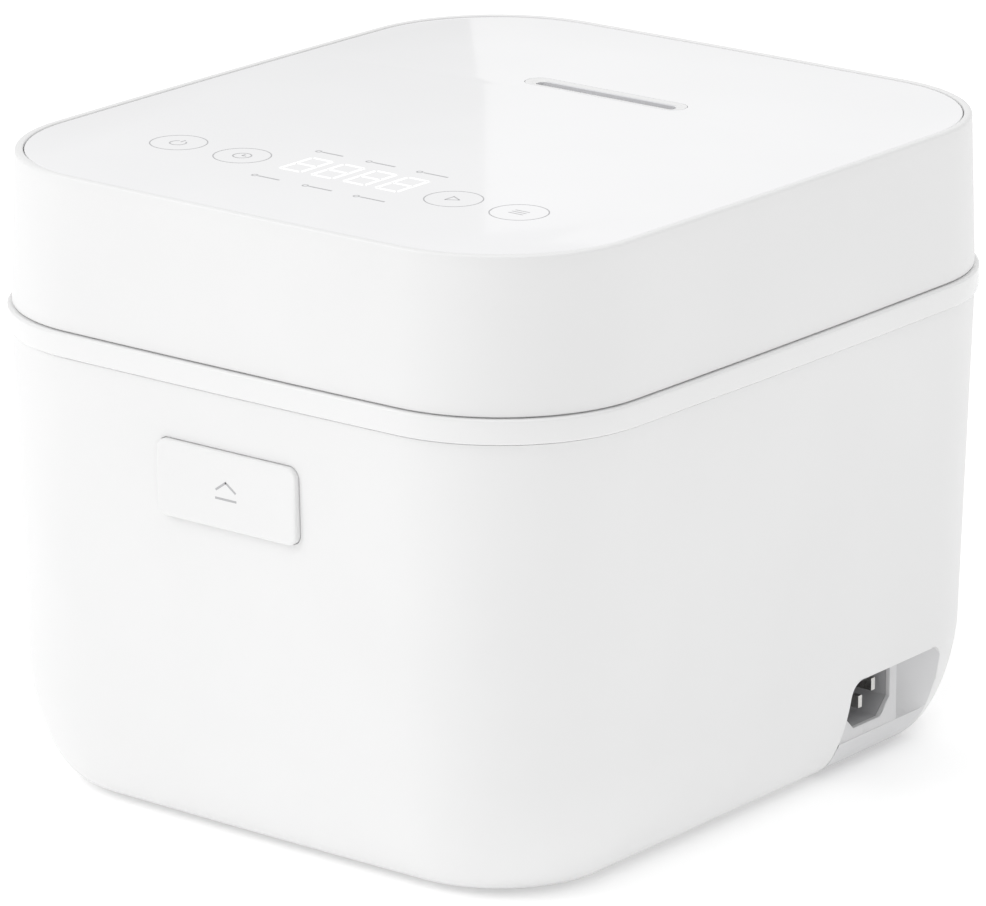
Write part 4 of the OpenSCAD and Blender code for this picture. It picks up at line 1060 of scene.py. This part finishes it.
def buildMarks(s=markSettings):
    z = panelHigh.z + s["thick"] / 2 + 0.002
    ink, faint, glowPrint = bmesh.new(), bmesh.new(), bmesh.new()
    flat = ((1, 0, 0), (0, 1, 0), (0, 0, 1))

    def ring(bm, x, y, r, line, start=0.0, turn=360.0):
        section = [[r - line / 2, z - s["thick"] / 2], [r + line / 2, z - s["thick"] / 2],
                   [r + line / 2, z + s["thick"] / 2], [r - line / 2, z + s["thick"] / 2]]
        if turn >= 360:
            spunShape(bm, section, 64, (x, y))
            return
        verts = [bm.verts.new((x + p[0], y, p[1])) for p in section]
        face = bm.faces.new(verts)
        bmesh.ops.rotate(bm, verts=verts, cent=(x, y, 0), matrix=Matrix.Rotation(math.radians(start), 3, "Z"))
        bmesh.ops.spin(bm, geom=[face], cent=(x, y, 0), axis=(0, 0, 1), dvec=(0, 0, 0),
                       angle=math.radians(turn), steps=40, use_merge=False, use_duplicate=False)

    def bar(bm, x, y, length, line, turn=0.0):
        a = math.radians(turn)
        markBox(bm, (x, y, z), (math.cos(a), math.sin(a), 0), (-math.sin(a), math.cos(a), 0), (0, 0, 1),
                length, line, s["thick"])

    y = s["touchY"]
    power, clock, begin, menu = s["touchX"]
    for x in s["touchX"]:
        ring(ink, x, y, s["ring"], s["line"])
    symbol = 0.45
    ring(ink, power, y - 0.3, 2.6, symbol, 120, 300)
    bar(ink, power, y + 2.2, 2.4, symbol, 90)
    ring(ink, clock, y, 2.9, symbol)
    bar(ink, clock, y + 0.8, 1.8, symbol, 90)
    bar(ink, clock + 0.7, y, 1.6, symbol)
    bar(ink, begin - 1.6, y, 4.6, symbol, 90)
    for side in (-1, 1):
        bar(ink, begin + 0.35, y + side * 1.12, 4.5, symbol, side * -30)
        bar(ink, menu, y + side * 1.7, 5.4, symbol)
    bar(ink, menu, y, 5.4, symbol)
    for row, places in ((s["upperY"], s["upperX"]), (s["lowerY"], s["lowerX"])):
        for i, x in enumerate(places):
            ring(faint, x - 5, row, 0.9, 0.45)
            bar(faint, x + 0.6 + i * 0.3, row, 8.2 + i * 0.6, 0.75)
    # the four digits go in the ink with the painted glow
    for i in range(4):
        x = s["digitX"] + (i - 1.5) * s["digitPitch"]
        drawDigit(glowPrint, "8", (x, s["digitY"], z), *flat, s["digitWidth"], s["digitHeight"], s["digitLine"],
                  s["thick"])
    return [finishPiece(ink, "panelSymbols", "lid", greyInk, (), 32, 0.0005),
            finishPiece(faint, "panelLabels", "lid", greyInk, (), 32, 0.0005),
            finishPiece(glowPrint, "panelDigits", "lid", paintedGlowDigits, (), 32, 0.0005)]


def buildButtonMark(b=buttonSettings):
    # an upward chevron over a bar, for the lid that opens
    bm = bmesh.new()
    y = buttonLow.y + b["dish"] - 0.01
    for side in (-1, 1):
        a = math.radians(side * -35)
        markBox(bm, (side * 1.9, y, b["up"] + 1.4), (math.cos(a), 0, math.sin(a)),
                (-math.sin(a), 0, math.cos(a)), (0, -1, 0), 5.0, 0.7, 0.06)
    markBox(bm, (0, y, b["up"] - 2.6), (1, 0, 0), (0, 0, 1), (0, -1, 0), 8.4, 0.7, 0.06)
    return finishPiece(bm, "buttonMark", "button", greyInk, (), 32, 0.0005)


pieces += buildMarks() + [buildButtonMark()]
print("panel marks printed")

# the finish of each piece that keeps its first shape, by its slot
nodeFinish = {
    "white_abs": satinAbs, "white_gloss": polishedAbs, "panel_gloss": glossPmma, "grey_abs": greyAbs,
    "dark_pbt": darkPbt, "water_box_clear": frostedPp, "silicone": pressedSilicone,
    "foot_rubber": matteRubber, "pot_coating": bakedPtfe, "cast_aluminium": castAluminium,
    "sheet_aluminium": spunAluminium, "spring_steel": drawnSteel, "zinc_steel": zincSteel,
    "brass_plated": nickelledBrass, "circuit_board": solderedBoard,
}


def dressNodes():
    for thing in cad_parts.values():
        old = thing.data.materials[0].name.split(".")[0] if thing.data.materials else ""
        material = nodeFinish.get(old, waxyPp)
        if not thing.material_slots:
            thing.data.materials.append(material)
        for slot in thing.material_slots:
            slot.material = material


dressNodes()
print("nodes dressed")

# places and sizes in metres, about the middle of the cooker, and power in watts
lightSettings = {"world": 0.66, "aim": (0, 0, 0.1), "card": 1.35, "cardAway": 1.5, "cardWide": 2.6,
                 "cardTop": 0.86, "cardLeft": 0.02, "floor": 0.2, "floorRadius": 9.0, "floorDown": 0.0004}
lamps = {"keyLight": ((-1.4, -1.8, 1.8), 1.6, 21.0), "fillLight": ((1.8, -1.4, 1.0), 1.4, 0.35),
         "overheadLight": ((0.3, 0.1, 2.3), 2.2, 15.0)}


def addArea(name, place, aim, size, power):
    light = bpy.data.lights.new(name, "AREA")
    light.shape = "RECTANGLE"
    light.size, light.size_y = size
    light.energy = power
    lamp = bpy.data.objects.new(name, light)
    lamp.location = place
    lamp.rotation_euler = (Vector(aim) - Vector(place)).to_track_quat("-Z", "Y").to_euler()
    lamp.visible_camera = False
    bpy.context.scene.collection.objects.link(lamp)


def buildStage(s=lightSettings):
    bm = bmesh.new()
    bmesh.ops.create_circle(bm, cap_ends=True, segments=96, radius=s["floorRadius"])
    mesh = bpy.data.meshes.new("floor")
    bm.to_mesh(mesh)
    bm.free()
    floor = bpy.data.objects.new("floor", mesh)
    floor.location = (0, 0, -s["floorDown"])
    bpy.context.scene.collection.objects.link(floor)
    # white acrylic lit faintly from below, so that the floor runs into the background
    acrylic, tree, shader, place = newMaterial("backlitAcrylic", {
        "Roughness": 0.9, "Emission Color": colour("ffffff"), "Emission Strength": s["floor"]})
    haze = addNode(tree, "ShaderNodeTexNoise", {"Scale": 1 / (3 * mm)}, {"Vector": place}).outputs["Fac"]
    tree.links.new(ramp(tree, haze, colour("fefefe"), colour("ffffff")), shader.inputs["Base Color"])
    mesh.materials.append(acrylic)
    world = bpy.data.worlds.new("studio")
    world.use_nodes = True
    background = world.node_tree.nodes["Background"]
    background.inputs["Color"].default_value = colour("ffffff")
    background.inputs["Strength"].default_value = s["world"]
    bpy.context.scene.world = world
    for name, (place, wide, power) in lamps.items():
        addArea(name, place, s["aim"], (wide, wide), power)
    # a lit card stands behind the cooker, for the gloss panel to mirror
    azimuth = math.radians(cameraSettings["azimuth"])
    away = Vector((-math.sin(azimuth), math.cos(azimuth), 0))
    right = Vector((math.cos(azimuth), math.sin(azimuth), 0))
    card = Vector((0, axisY * mm, s["cardTop"] / 2)) + away * s["cardAway"]
    card += right * (s["cardWide"] / 2 - s["cardLeft"])
    addArea("whiteCard", card, card - away, (s["cardWide"], s["cardTop"]), s["card"])
    bpy.context.scene.view_settings.view_transform = "Standard"


buildStage()
print("stage set")
